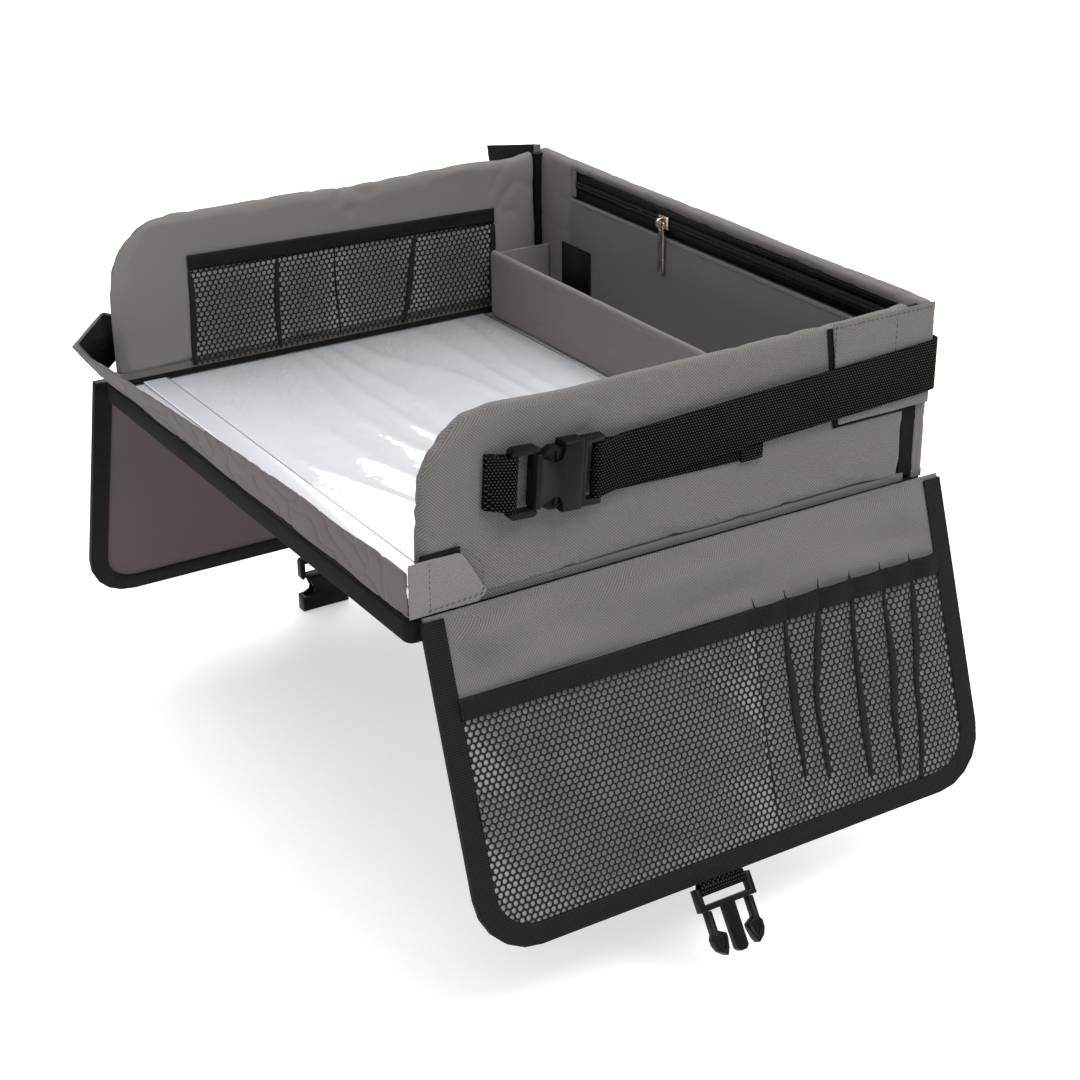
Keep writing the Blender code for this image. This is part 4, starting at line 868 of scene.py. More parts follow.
class NodeTrees:
    """Geometry node trees for what repeats: net cells, and beads along a path."""

    def __init__(self) -> None:
        """Starts with no tree built."""
        self.net_tree: bpy.types.NodeTree | None = None
        self.bead_tree: bpy.types.NodeTree | None = None

    @staticmethod
    def start(name: str, inputs: list[tuple[str, str]]) -> Graph:
        """Starts a tree with a geometry input and output and the named inputs."""
        tree = bpy.data.node_groups.new(name, "GeometryNodeTree")
        tree.interface.new_socket("Geometry", in_out="INPUT", socket_type="NodeSocketGeometry")
        for socket, kind in inputs:
            tree.interface.new_socket(socket, in_out="INPUT", socket_type="NodeSocket" + kind)
        tree.interface.new_socket("Geometry", in_out="OUTPUT", socket_type="NodeSocketGeometry")
        return Graph(tree)

    @staticmethod
    def end(graph: Graph, given: bpy.types.Node, points: object, instance: object,
            rotation: object = None) -> None:
        """Ends a tree: instances on points, made real, with the material set."""
        inputs = {"Points": points, "Instance": instance}
        if rotation is not None:
            inputs["Rotation"] = rotation
        placed = graph.node("GeometryNodeInstanceOnPoints", inputs)
        real = graph.node("GeometryNodeRealizeInstances", {0: placed.outputs[0]})
        painted = graph.node("GeometryNodeSetMaterial", {
            "Geometry": real.outputs[0], "Material": given.outputs["Material"]})
        graph.node("NodeGroupOutput", {"Geometry": painted.outputs[0]})

    def net(self) -> bpy.types.NodeTree:
        """Net of six-sided cells in rows half a pitch apart, flat in X and Y, ridges at z = 0."""
        if self.net_tree:
            return self.net_tree
        graph = self.start("net_cells", [("Columns", "Int"), ("Rows", "Int"), ("Pitch", "Float"),
                                         ("Strand", "Float"), ("Thickness", "Float"),
                                         ("Material", "Material")])
        given = graph.node("NodeGroupInput")
        pitch, strand = given.outputs["Pitch"], given.outputs["Strand"]
        row_pitch = graph.math("MULTIPLY", pitch, math.sqrt(3) / 2)
        rows_less, columns_less = (graph.math("SUBTRACT", given.outputs[name], 1.0)
                                   for name in ("Rows", "Columns"))
        grid = graph.node("GeometryNodeMeshGrid", {
            "Size X": graph.math("MULTIPLY", columns_less, pitch),
            "Size Y": graph.math("MULTIPLY", rows_less, row_pitch),
            "Vertices X": given.outputs["Columns"], "Vertices Y": given.outputs["Rows"]})
        spot = graph.node("ShaderNodeSeparateXYZ",
                          {0: graph.node("GeometryNodeInputPosition").outputs[0]})
        middle = graph.math("MULTIPLY", rows_less, 0.5)
        row = graph.math("ROUND", graph.math(
            "ADD", graph.math("DIVIDE", spot.outputs[1], row_pitch), middle))
        shift = graph.math("MULTIPLY", graph.math("FLOORED_MODULO", row, 2.0),
                           graph.math("MULTIPLY", pitch, 0.5))
        moved = graph.node("GeometryNodeSetPosition", {
            "Geometry": grid.outputs[0],
            "Offset": graph.node("ShaderNodeCombineXYZ", {0: shift}).outputs[0]})
        cell = graph.node("GeometryNodeMeshCircle", {
            "Vertices": 6, "Radius": graph.math("DIVIDE", pitch, math.sqrt(3))},
            fill_type="NGON")
        turned = graph.node("GeometryNodeTransform", {"Geometry": cell.outputs[0],
                                                      "Rotation": (0.0, 0.0, math.pi / 6)})
        inset = graph.node("GeometryNodeExtrudeMesh", {"Mesh": turned.outputs[0],
                                                       "Offset Scale": 0.0}, mode="FACES")
        share = graph.math("SUBTRACT", 1.0, graph.math("DIVIDE", strand, pitch))
        scaled = graph.node("GeometryNodeScaleElements", {
            "Geometry": inset.outputs[0], "Selection": inset.outputs["Top"], "Scale": share})
        drop = graph.math("MULTIPLY", given.outputs["Thickness"], -0.4)
        lowered = graph.node("GeometryNodeSetPosition", {
            "Geometry": scaled.outputs[0], "Selection": inset.outputs["Top"],
            "Offset": graph.node("ShaderNodeCombineXYZ", {2: drop}).outputs[0]})
        walls = graph.node("GeometryNodeExtrudeMesh", {
            "Mesh": lowered.outputs[0], "Selection": inset.outputs["Top"],
            "Offset Scale": graph.math("MULTIPLY", given.outputs["Thickness"], -0.6)},
            mode="FACES")
        ring = graph.node("GeometryNodeDeleteGeometry", {
            "Geometry": walls.outputs[0], "Selection": walls.outputs["Top"]}, domain="FACE")
        self.end(graph, given, moved.outputs[0], ring.outputs[0])
        self.net_tree = graph.tree
        return graph.tree

    def beads(self) -> bpy.types.NodeTree:
        """Rounded beads at even steps along a path: stitches, or the teeth of a zip."""
        if self.bead_tree:
            return self.bead_tree
        graph = self.start("beads_on_path", [("Spacing", "Float"), ("Along", "Float"),
                                             ("Across", "Float"), ("Out", "Float"),
                                             ("Material", "Material")])
        given = graph.node("NodeGroupInput")
        curve = graph.node("GeometryNodeMeshToCurve", {0: given.outputs["Geometry"]})
        points = graph.node("GeometryNodeCurveToPoints", {
            "Curve": curve.outputs[0], "Length": given.outputs["Spacing"]}, mode="LENGTH")
        turn = graph.node("FunctionNodeAlignRotationToVector",
                          {"Vector": points.outputs["Tangent"]}, axis="Z")
        ball = graph.node("GeometryNodeMeshUVSphere", {"Segments": 6, "Rings": 4, "Radius": 0.5})
        size = graph.node("ShaderNodeCombineXYZ", {0: given.outputs["Across"],
                                                   1: given.outputs["Out"],
                                                   2: given.outputs["Along"]})
        bead = graph.node("GeometryNodeTransform", {"Geometry": ball.outputs[0],
                                                    "Scale": size.outputs[0]})
        self.end(graph, given, points.outputs[0], bead.outputs[0], turn.outputs[0])
        self.bead_tree = graph.tree
        return graph.tree

    @staticmethod
    def run(name: str, mesh: bpy.types.Mesh, tree: bpy.types.NodeTree, finish: str,
            values: dict[str, float]) -> bpy.types.Object:
        """Runs a tree on a mesh.

        Args:
            name: the piece's name.
            mesh: the tree's input geometry.
            tree: the geometry node tree.
            finish: the name of the material that it sets.
            values: its other inputs by name.

        Returns:
            The piece, a plain mesh with no modifier left.
        """
        piece = bpy.data.objects.new(name, mesh)
        bpy.context.scene.collection.objects.link(piece)
        modifier = piece.modifiers.new("build", "NODES")
        modifier.node_group = tree
        for item in tree.interface.items_tree:
            if item.item_type == "SOCKET" and item.in_out == "INPUT":
                if item.name == "Material":
                    modifier[item.identifier] = FINISHES.get(finish)
                elif item.name in values:
                    modifier[item.identifier] = values[item.name]
        applied(piece)
        return shade_smooth(piece)


TREES = NodeTrees()


def stitches(name: str, paths: list[list[tuple[float, float, float]]], finish: str,
             spacing: float = 0.0032, along: float = 0.0024, across: float = 0.0006,
             out: float = 0.0006) -> bpy.types.Object:
    """A line of stitches along each path, all in one piece.

    Args:
        name: the piece's name.
        paths: lists of points on the cloth's surface.
        finish: the thread's material.
        spacing: the step from stitch to stitch.
        along: the length of a stitch.
        across: its width.
        out: its thickness.

    Returns:
        The new piece.
    """
    verts, edges = [], []
    for path in paths:
        start = len(verts)
        verts += [tuple(p) for p in path]
        edges += [(i, i + 1) for i in range(start, len(verts) - 1)]
    mesh = bpy.data.meshes.new(name)
    mesh.from_pydata(verts, edges, [])
    return TREES.run(name, mesh, TREES.beads(), finish, {
        "Spacing": spacing, "Along": along, "Across": across, "Out": out})


@dataclass(frozen=True)
class NetCloth:
    """Mesh cloth: pitch of its cells, width of its strands and its thickness."""

    pitch: float = 0.0039
    strand: float = 0.00105
    thickness: float = 0.0005

    def spread(self, name: str, width: float, height: float,
               inside: Callable[[np.ndarray, np.ndarray], np.ndarray],
               place: Callable[[np.ndarray, np.ndarray, np.ndarray], np.ndarray]
               ) -> bpy.types.Object:
        """Lays the net over a surface.

        Args:
            name: the piece's name.
            width: its flat width, with u = 0 in the middle.
            height: its flat height, with v = 0 in the middle.
            inside: says which cells (u, v) are kept.
            place: puts points (u, v, w) of the flat net in space.

        Returns:
            The new piece.
        """
        columns = int(width / self.pitch) + 2
        rows = int(height / (self.pitch * math.sqrt(3) / 2)) + 2
        mesh = bpy.data.meshes.new(name)
        mesh.from_pydata([(0, 0, 0)], [], [])
        piece = TREES.run(name, mesh, TREES.net(), "mesh_strand", {
            "Columns": columns, "Rows": rows, "Pitch": self.pitch, "Strand": self.strand,
            "Thickness": self.thickness})
        bm = bmesh.new()
        bm.from_mesh(piece.data)
        faces = list(bm.faces)
        centres = np.array([face.calc_center_median()[:] for face in faces])
        keep = inside(centres[:, 0], centres[:, 1])
        bmesh.ops.delete(bm, geom=[f for f, good in zip(faces, keep) if not good],
                         context="FACES")
        bm.to_mesh(piece.data)
        bm.free()
        flat = get_points(piece)
        set_points(piece, place(flat[:, 0], flat[:, 1], flat[:, 2]))
        return piece


NET = NetCloth()


# --- the object -------------------------------------------------------------------------------


class Assembly:
    """A sub-assembly of the tray: finds its CAD nodes and puts pieces on their bodies."""

    def __init__(self, frame: dict) -> None:
        """Keeps the frame and which body each node belongs to."""
        self.nodes = frame["nodes"]
        self.body_of = {node: body for body, nodes in
                        frame["record"]["behaviour"]["bodies"].items() for node in nodes}
        self.slot_of = {sub["node"]: sub["material_slot"] for sub in frame["record"]["subparts"]}

    def fit(self, piece: bpy.types.Object, node: str, replace: bool = False) -> bpy.types.Object:
        """Makes a piece ride on a node's body, and maybe replace it."""
        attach(piece, self.body_of[node])
        if replace:
            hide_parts(node)
        return piece

    def rounded(self, node: str, name: str, finish: str, radius: float,
                segments: int = 2) -> bpy.types.Object:
        """A rounded copy in place of a node, on its body."""
        return self.fit(rounded_copy(self.nodes[node], name, finish, radius, segments), node)

    def pad(self, node: str, name: str, finish: str, soft: Softness,
            fill: float = 0.6) -> bpy.types.Object:
        """A padded copy in place of a node, on its body."""
        piece = self.fit(Pad(self.nodes[node], name, finish, soft).build(), node)
        return piece


class Base(Assembly):
    """Base board, drawing board, the clear cover and its white hem."""

    cover_waves = 0.0013

    def build(self) -> None:
        """Builds the base and what lies in it."""
        self.rounded("base_board", "base_cloth", "black_oxford", 0.0016, 3)
        self.rounded("drawing_board", "board", "white_board", 0.0003, 1)
        self.cover()
        hem = self.rounded("cover_hem", "hem_band", "white_hem", 0.00035, 2)
        low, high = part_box("cover_hem")
        self.fit(stitches("hem_weld", [[(low[0] + 0.001, high[1] + 0.0012, high[2] - 0.0007),
                                        (high[0] - 0.001, high[1] + 0.0012, high[2] - 0.0007)]],
                          "grey_thread", spacing=0.0016, along=0.0012, across=0.0009,
                          out=0.0005), "cover_hem")
        LOG.info("base with %s", hem.name)

    def cover(self) -> None:
        """Clear sheet with slack waves that run with its width."""
        low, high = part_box("clear_cover")
        columns, rows = 160, 120
        x, y = np.meshgrid(np.linspace(low[0], high[0], columns),
                           np.linspace(low[1], high[1], rows), indexing="ij")
        edge = np.minimum((y - low[1] - 0.034) / 0.03, (high[1] - y) / 0.02)
        fade = np.clip(edge, 0, 1) * np.clip((x - low[0]) / 0.008, 0, 1)
        fade = fade * np.interp(x, (low[0], 0.0, high[0]), (1.1, 0.75, 0.9))
        flat = np.stack([x, y, np.zeros_like(x)], axis=2).reshape(-1, 3)
        drift = cloud(flat, (0.16, 0.07, 1.0), 2.3).reshape(x.shape)
        phase = (y - x * 0.10) / 0.025 + drift * 0.9
        wave = (0.5 + 0.5 * np.sin(phase * math.tau)) ** 2
        lift = self.cover_waves * fade * (wave * 0.8 + 0.4 * (drift + 1) / 2)
        points = np.stack([x, y, (low[2] + high[2]) / 2 + lift], axis=2)
        piece = closed_sheet("clear_sheet", points, 0.0004, "clear_vinyl")
        self.fit(piece, "clear_cover", True)


class Walls(Assembly):
    """The padded right, left and rear walls."""

    right_soft = Softness(voxel=0.0034, pressure=4.0, cap=0.0022, valley=0.0016,
                          lumps=(0.06, 0.085, 0.045), subdivide=True, lining="grey_lining",
                          inward=(-1.0, 0.0, 0.0),
                          focus=((-0.09, 0.105, 0.03, 0.9), (-0.145, 0.05, 0.03, 0.8)))
    left_soft = Softness(voxel=0.0034, pressure=4.0, cap=0.0022, valley=0.0011,
                         lumps=(0.06, 0.060, 0.045), seed=7.7, subdivide=True,
                         lining="grey_lining", inward=(1.0, 0.0, 0.0),
                         focus=((0.0, 0.108, 0.025, 0.8), (0.115, 0.100, 0.030, 0.8)))
    rear_soft = Softness(voxel=0.0021, smoothing=3, pressure=1.5, cap=0.0006, valley=0.0006,
                         lumps=(0.09, 0.06, 0.05), seed=8.4, lining="inner_oxford",
                         inward=(0.0, -1.0, 0.0))
    tape_inset = 0.0010
    tape_top = 0.0195
    corner_top = 0.120

    def build(self) -> None:
        """Builds the three walls and the tapes that join them to the base."""
        for node, name, soft in (("side_wall_right", "right_wall", self.right_soft),
                                 ("side_wall_left", "left_wall", self.left_soft),
                                 ("rear_wall", "back_wall", self.rear_soft)):
            self.pad(node, name, "grey_oxford", soft)
            low, high = (np.array(corner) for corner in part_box(node))
            low, high = low + self.tape_inset, high - self.tape_inset
            low[2], high[2] = low[2] - self.tape_inset - 0.0001, self.tape_top
            self.tape(node, name + "_foot", low, high, "grey_oxford")
        self.behind_net()
        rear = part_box("rear_wall")[0][1] + 0.002
        for node, name in (("side_wall_right", "corner_tape_right"),
                           ("side_wall_left", "corner_tape_left")):
            low, high = (np.array(corner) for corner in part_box(node))
            low, high = low + 0.002, np.array((high[0] - 0.002, rear, self.corner_top))
            low[1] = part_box(node)[1][1] - 0.004
            self.tape(node, name, low, high, "black_oxford")

    def behind_net(self) -> None:
        """Gives the left wall's cloth behind its mesh pocket a lighter copy of its material:
        painted light against the shade under the net.
        """
        low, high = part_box("side_pocket_net")
        mesh = bpy.data.objects["left_wall"].data
        mesh.materials.append(FINISHES.get("grey_behind_net"))
        for polygon in mesh.polygons:
            _, y, z = polygon.center
            if polygon.material_index == 1 and low[1] < y < high[1] and z < high[2]:
                polygon.material_index = 2

    def tape(self, node: str, name: str, low: np.ndarray, high: np.ndarray,
             finish: str) -> None:
        """A plain strip between two corners, on a wall's body, that closes a sewn gap."""
        verts = np.array([[(low, high)[i][0], (low, high)[j][1], (low, high)[k][2]]
                          for i in (0, 1) for j in (0, 1) for k in (0, 1)])
        faces = [(0, 1, 3, 2), (4, 6, 7, 5), (0, 4, 5, 1), (2, 3, 7, 6), (0, 2, 6, 4),
                 (1, 5, 7, 3)]
        piece = new_piece(name, verts, faces, finish)
        for polygon in piece.data.polygons:
            polygon.use_smooth = False
        self.fit(piece, node)


class RearPocket(Assembly):
    """Zip pocket on the rear wall: its front, tapes, teeth, slider and pull."""

    tooth_pitch = 0.00125
    tooth_offset = 0.0012

    def build(self) -> None:
        """Builds the pocket."""
        self.front()
        self.rounded("zip_tape_lower", "tape_lower", "zip_tape", 0.0002, 1)
        self.rounded("zip_tape_upper", "tape_upper", "zip_tape", 0.0002, 1)
        self.teeth()
        self.rounded("zip_slider", "slider_body", "nickel", 0.0004, 3)
        self.rounded("zip_pull", "pull_tab", "nickel", 0.00045, 3)
        self.rounded("rear_loop_patch", "loop_patch_rear", "loop_pile", 0.0003, 1)

    def front(self) -> None:
        """Cloth front of the pocket, slightly slack, with a stitched top edge."""
        low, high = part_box("rear_pocket_panel")
        x, z = np.meshgrid(np.linspace(low[0], high[0], 150), np.linspace(low[2], high[2], 40),
                           indexing="ij")
        flat = np.stack([x, z * 0, z], axis=2).reshape(-1, 3)
        share = (x - low[0]) / (high[0] - low[0])
        up = (z - low[2]) / (high[2] - low[2])
        slack = 0.0010 * np.sin(math.pi * share) * np.sin(math.pi * up) ** 0.7
        slack = slack + 0.0005 * np.clip(cloud(flat, (0.07, 1, 0.045), 4.4).reshape(x.shape), 0, 1)
        points = np.stack([x, (low[1] + high[1]) / 2 - slack, z], axis=2)
        piece = closed_sheet("pocket_front", points, 0.0011, "pocket_oxford")
        self.fit(piece, "rear_pocket_panel", True)
        line = high[2] - 0.0026
        thread = stitches("pocket_seam", [[(low[0] + 0.003, low[1] - 0.0002, line),
                                           (high[0] - 0.003, low[1] - 0.0002, line)]],
                          "dark_thread")
        self.fit(thread, "rear_pocket_panel")

    def teeth(self) -> None:
        """Closed coil of the zip, on a narrow core, with grey cloth ends."""
        low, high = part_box("zip_chain")
        middle = (low[2] + high[2]) / 2
        rows = []
        for offset in (-self.tooth_offset, self.tooth_offset):
            rows.append([(low[0] + 0.001, (low[1] + high[1]) / 2, middle + offset),
                         (high[0] - 0.001, (low[1] + high[1]) / 2, middle + offset)])
        coil = stitches("zip_coil", rows, "zip_coil", spacing=self.tooth_pitch, along=0.00105,
                        across=0.0026, out=0.0014)
        self.fit(coil, "zip_chain", True)
        core = self.rounded("zip_chain", "zip_core", "zip_tape", 0.0002, 1)
        points = get_points(core)
        points[:, 1] = np.where(points[:, 1] < low[1] + 0.0007, low[1] + 0.0006, points[:, 1])
        set_points(core, points)
        pocket_low, pocket_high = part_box("rear_pocket_panel")
        for name, start, end in (("zip_end_left", pocket_low[0] + 0.0002, low[0] + 0.0008),
                                 ("zip_end_right", high[0] - 0.0008, pocket_high[0] - 0.0002)):
            z = np.linspace(pocket_high[2] + 0.0006, 0.1163, 12)
            x = np.linspace(start, end, 8)
            grid_x, grid_z = np.meshgrid(x, z, indexing="ij")
            bulge = 0.0004 * np.sin(math.pi * (grid_x - start) / (end - start))
            points = np.stack([grid_x, 0.1626 - bulge, grid_z], axis=2)
            self.fit(closed_sheet(name, points, 0.0009, "grey_oxford"), "side_wall_left")


class CornerTabs(Assembly):
    """Closing tabs at the corners and the loop patches below them."""

    tab_soft = Softness(voxel=0.00062, smoothing=3, valley=0.00025, lumps=(0.02, 0.02, 0.02),
                        seed=1.7, swell=0.0)

    def build(self) -> None:
        """Builds the tabs, the patches and the tabs' seams."""
        for node, finish in (("rear_tab_right", "grey_oxford"),
                             ("rear_tab_left", "grey_oxford"),
                             ("lip_tab_right", "grey_oxford_mirrored"),
                             ("lip_tab_left", "grey_oxford_mirrored")):
            self.pad(node, node + "_cloth", finish, self.tab_soft, 0.2)
        for node in ("rear_tab_left_patch", "lip_tab_left_patch", "wall_patch_right_rear",
                     "wall_patch_right_front"):
            self.rounded(node, node + "_pile", "loop_pile", 0.0001, 1)
        self.right_seams()

    seam_inset = 0.0028
    rear_fold_y = 0.139
    lip_fold_y = -0.1625

    def right_seams(self) -> None:
        """Stitches on the two right tabs."""
        low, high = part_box("rear_tab_right")
        x = high[0]
        inset = self.seam_inset
        rear = [[(x, low[1] + inset, high[2] - inset), (x, high[1] - 0.004, high[2] - inset)],
                [(x, self.rear_fold_y, high[2] - inset), (x, self.rear_fold_y, low[2] + 0.004)],
                [(x, low[1] + inset, high[2] - inset), (x, low[1] + inset, low[2] + inset)]]
        self.fit(stitches("rear_tab_seam", rear, "dark_thread", across=0.00045, out=0.00045),
                 "rear_tab_right")
        low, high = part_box("lip_tab_right")
        front = [[(x, self.lip_fold_y, high[2] - inset), (x, self.lip_fold_y, low[2] + inset)],
                 [(x, self.lip_fold_y, low[2] + inset),
                  (x, high[1] - inset, low[2] + inset + 0.002),
                  (x, high[1] - inset, high[2] - 0.010), (x, high[1] - 0.009, high[2] - inset)]]
        self.fit(stitches("lip_tab_seam", front, "dark_thread", across=0.00045, out=0.00045),
                 "lip_tab_right")


class FrontLip(Assembly):
    """The low folding lip along the front."""

    soft = Softness(voxel=0.00125, smoothing=5, valley=0.0009, lumps=(0.05, 0.03, 0.03), seed=6.2,
                    swell=0.0004)

    def build(self) -> None:
        """Builds the lip."""
        self.pad("front_lip", "lip_cloth", "lip_oxford", self.soft, 0.4)


class Divider(Assembly):
    """Low divider, its end gusset and its stitched edge."""

    soft = Softness(voxel=0.0014, smoothing=4, valley=0.00035, lumps=(0.08, 0.05, 0.04), seed=2.9)
    gusset_soft = Softness(voxel=0.0006, smoothing=2, valley=0.0003, lumps=(0.02, 0.012, 0.03),
                           seed=5.5)

    def build(self) -> None:
        """Builds the divider and its gusset."""
        self.pad("divider_panel", "divider_pad", "inner_oxford", self.soft, 0.5)
        self.pad("divider_gusset", "gusset_cloth", "grey_oxford_mirrored", self.gusset_soft, 0.2)
        low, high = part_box("divider_panel")
        line = high[2] - 0.0048
        self.fit(stitches("divider_seam", [[(low[0] + 0.003, low[1] + 0.0003, line),
                                            (high[0] - 0.003, low[1] + 0.0003, line)]],
                          "grey_thread", across=0.00045, out=0.0005), "divider_panel")


class SidePocket(Assembly):
    """Mesh pocket inside the left wall."""

    seams = (-0.051, -0.0075, 0.056)
    bag = 0.0016

    def out(self, y: np.ndarray, z: np.ndarray, low: Vector, high: Vector) -> np.ndarray:
        """How far the net stands off the wall at (y, z)."""
        share = np.clip((z - low[2]) / (high[2] - low[2]), 0, 1)
        bounds = [low[1], *self.seams, high[1]]
        lift = np.zeros_like(y)
        for first, second in zip(bounds, bounds[1:]):
            across = np.clip((y - first) / (second - first), 0, 1)
            inside = (y >= first) & (y <= second)
            lift = np.where(inside, np.sin(math.pi * across) ** 0.8, lift)
        return self.bag * lift * np.sin(math.pi * np.clip(share, 0.03, 0.97)) ** 0.6

    def build(self) -> None:
        """Builds the net, its top band, its bound ends and its upright seams."""
        low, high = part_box("side_pocket_net")
        band_low, band_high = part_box("side_pocket_band")
        width, height = high[1] - low[1], high[2] - low[2]
        middle = ((low[1] + high[1]) / 2, (low[2] + high[2]) / 2)
        face = low[0] + 0.0006
        slope = (0.0775 - 0.0725) / width

        def top(y: np.ndarray) -> np.ndarray:
            """Height of the net's top edge."""
            return band_high[2] - 0.0094 - slope * (y - low[1])

        def place(u: np.ndarray, v: np.ndarray, w: np.ndarray) -> np.ndarray:
            """Puts points of the flat net on the pocket."""
            y, z = middle[0] + u, middle[1] + v
            return np.stack([face + self.out(y, z, low, high) + w, y, z], axis=1)

        net = NET.spread("pocket_net_side", width, height + 0.01,
                         lambda u, v: (np.abs(u) < width / 2 - 0.001)
                         & (middle[1] + v > low[2]) & (middle[1] + v < top(middle[0] + u)), place)
        self.fit(net, "side_pocket_net", True)
        y, z = np.meshgrid(np.linspace(band_low[1], band_high[1], 90), np.linspace(0, 1, 7),
                           indexing="ij")
        top_edge = band_high[2] - slope * (y - low[1])
        wave = 0.0005 * np.sin(y / 0.021) * np.sin(math.pi * z)
        points = np.stack([face + 0.0006 + wave, y, top_edge - 0.0102 * (1 - z)], axis=2)
        band = closed_sheet("pocket_band_side", points[::-1], 0.0012, "black_binding")
        self.fit(band, "side_pocket_band", True)
        lines = [(-0.1135, -0.1135, 0.0045), (0.1170, 0.1170, 0.0050)]
        lines += [(self.seams[0], self.seams[0] - 0.001, 0.0042),
                  (self.seams[1], self.seams[1] + 0.001, 0.0014),
                  (self.seams[2], self.seams[2] - 0.0125, 0.0045)]
        for index, (upper, lower, size) in enumerate(lines):
            steps = np.linspace(0, 1, 24)
            ys = upper + (lower - upper) * steps + 0.0008 * np.sin(steps * 5 + index)
            zs = (band_high[2] - 0.0100 - slope * (ys - low[1])) * (1 - steps) + low[2] * steps
            xs = face + self.out(ys, zs, low, high) + 0.0001
            path = np.stack([xs, ys, zs], axis=1)
            across, out = np.tile((0, 1, 0), (24, 1)), np.tile((1, 0, 0), (24, 1))
            self.fit(ribbon(f"side_pocket_seam_{index}", path, across, out,
                                         np.full(24, size), 0.0011, "mesh_strand"),
                                  "side_pocket_net")


class WaistBelt(Assembly):
    """Webbing belt round the rear, with its buckle."""

    def build(self) -> None:
        """Builds the webbing and the closed buckle."""
        self.rounded("belt_webbing", "belt", "black_webbing", 0.0004, 2)
        self.rounded("belt_anchor_loop", "belt_loop", "black_webbing", 0.0004, 2)
        self.rounded("belt_female_body", "belt_buckle_body", "black_plastic", 0.00045, 3)
        self.rounded("belt_male_frame", "belt_buckle_frame", "black_plastic", 0.0004, 2)
        self.rounded("belt_prong_upper", "belt_latch_upper", "black_plastic", 0.0003, 2)
        self.rounded("belt_prong_lower", "belt_latch_lower", "black_plastic", 0.0003, 2)


@dataclass(frozen=True)
class FlapSizes:
    """Place and sizes of a hanging flap, as its CAD solids have them."""

    side: Side
    hinge: tuple[float, float, float]
    tilt: float
    length: float
    half: float = 0.1735
    corner: float = 0.034
    binding: float = 0.0125
    wall: float = 0.0013
    panel: float = 0.0022
    band_top: float = 0.0446
    band_height: float = 0.0118


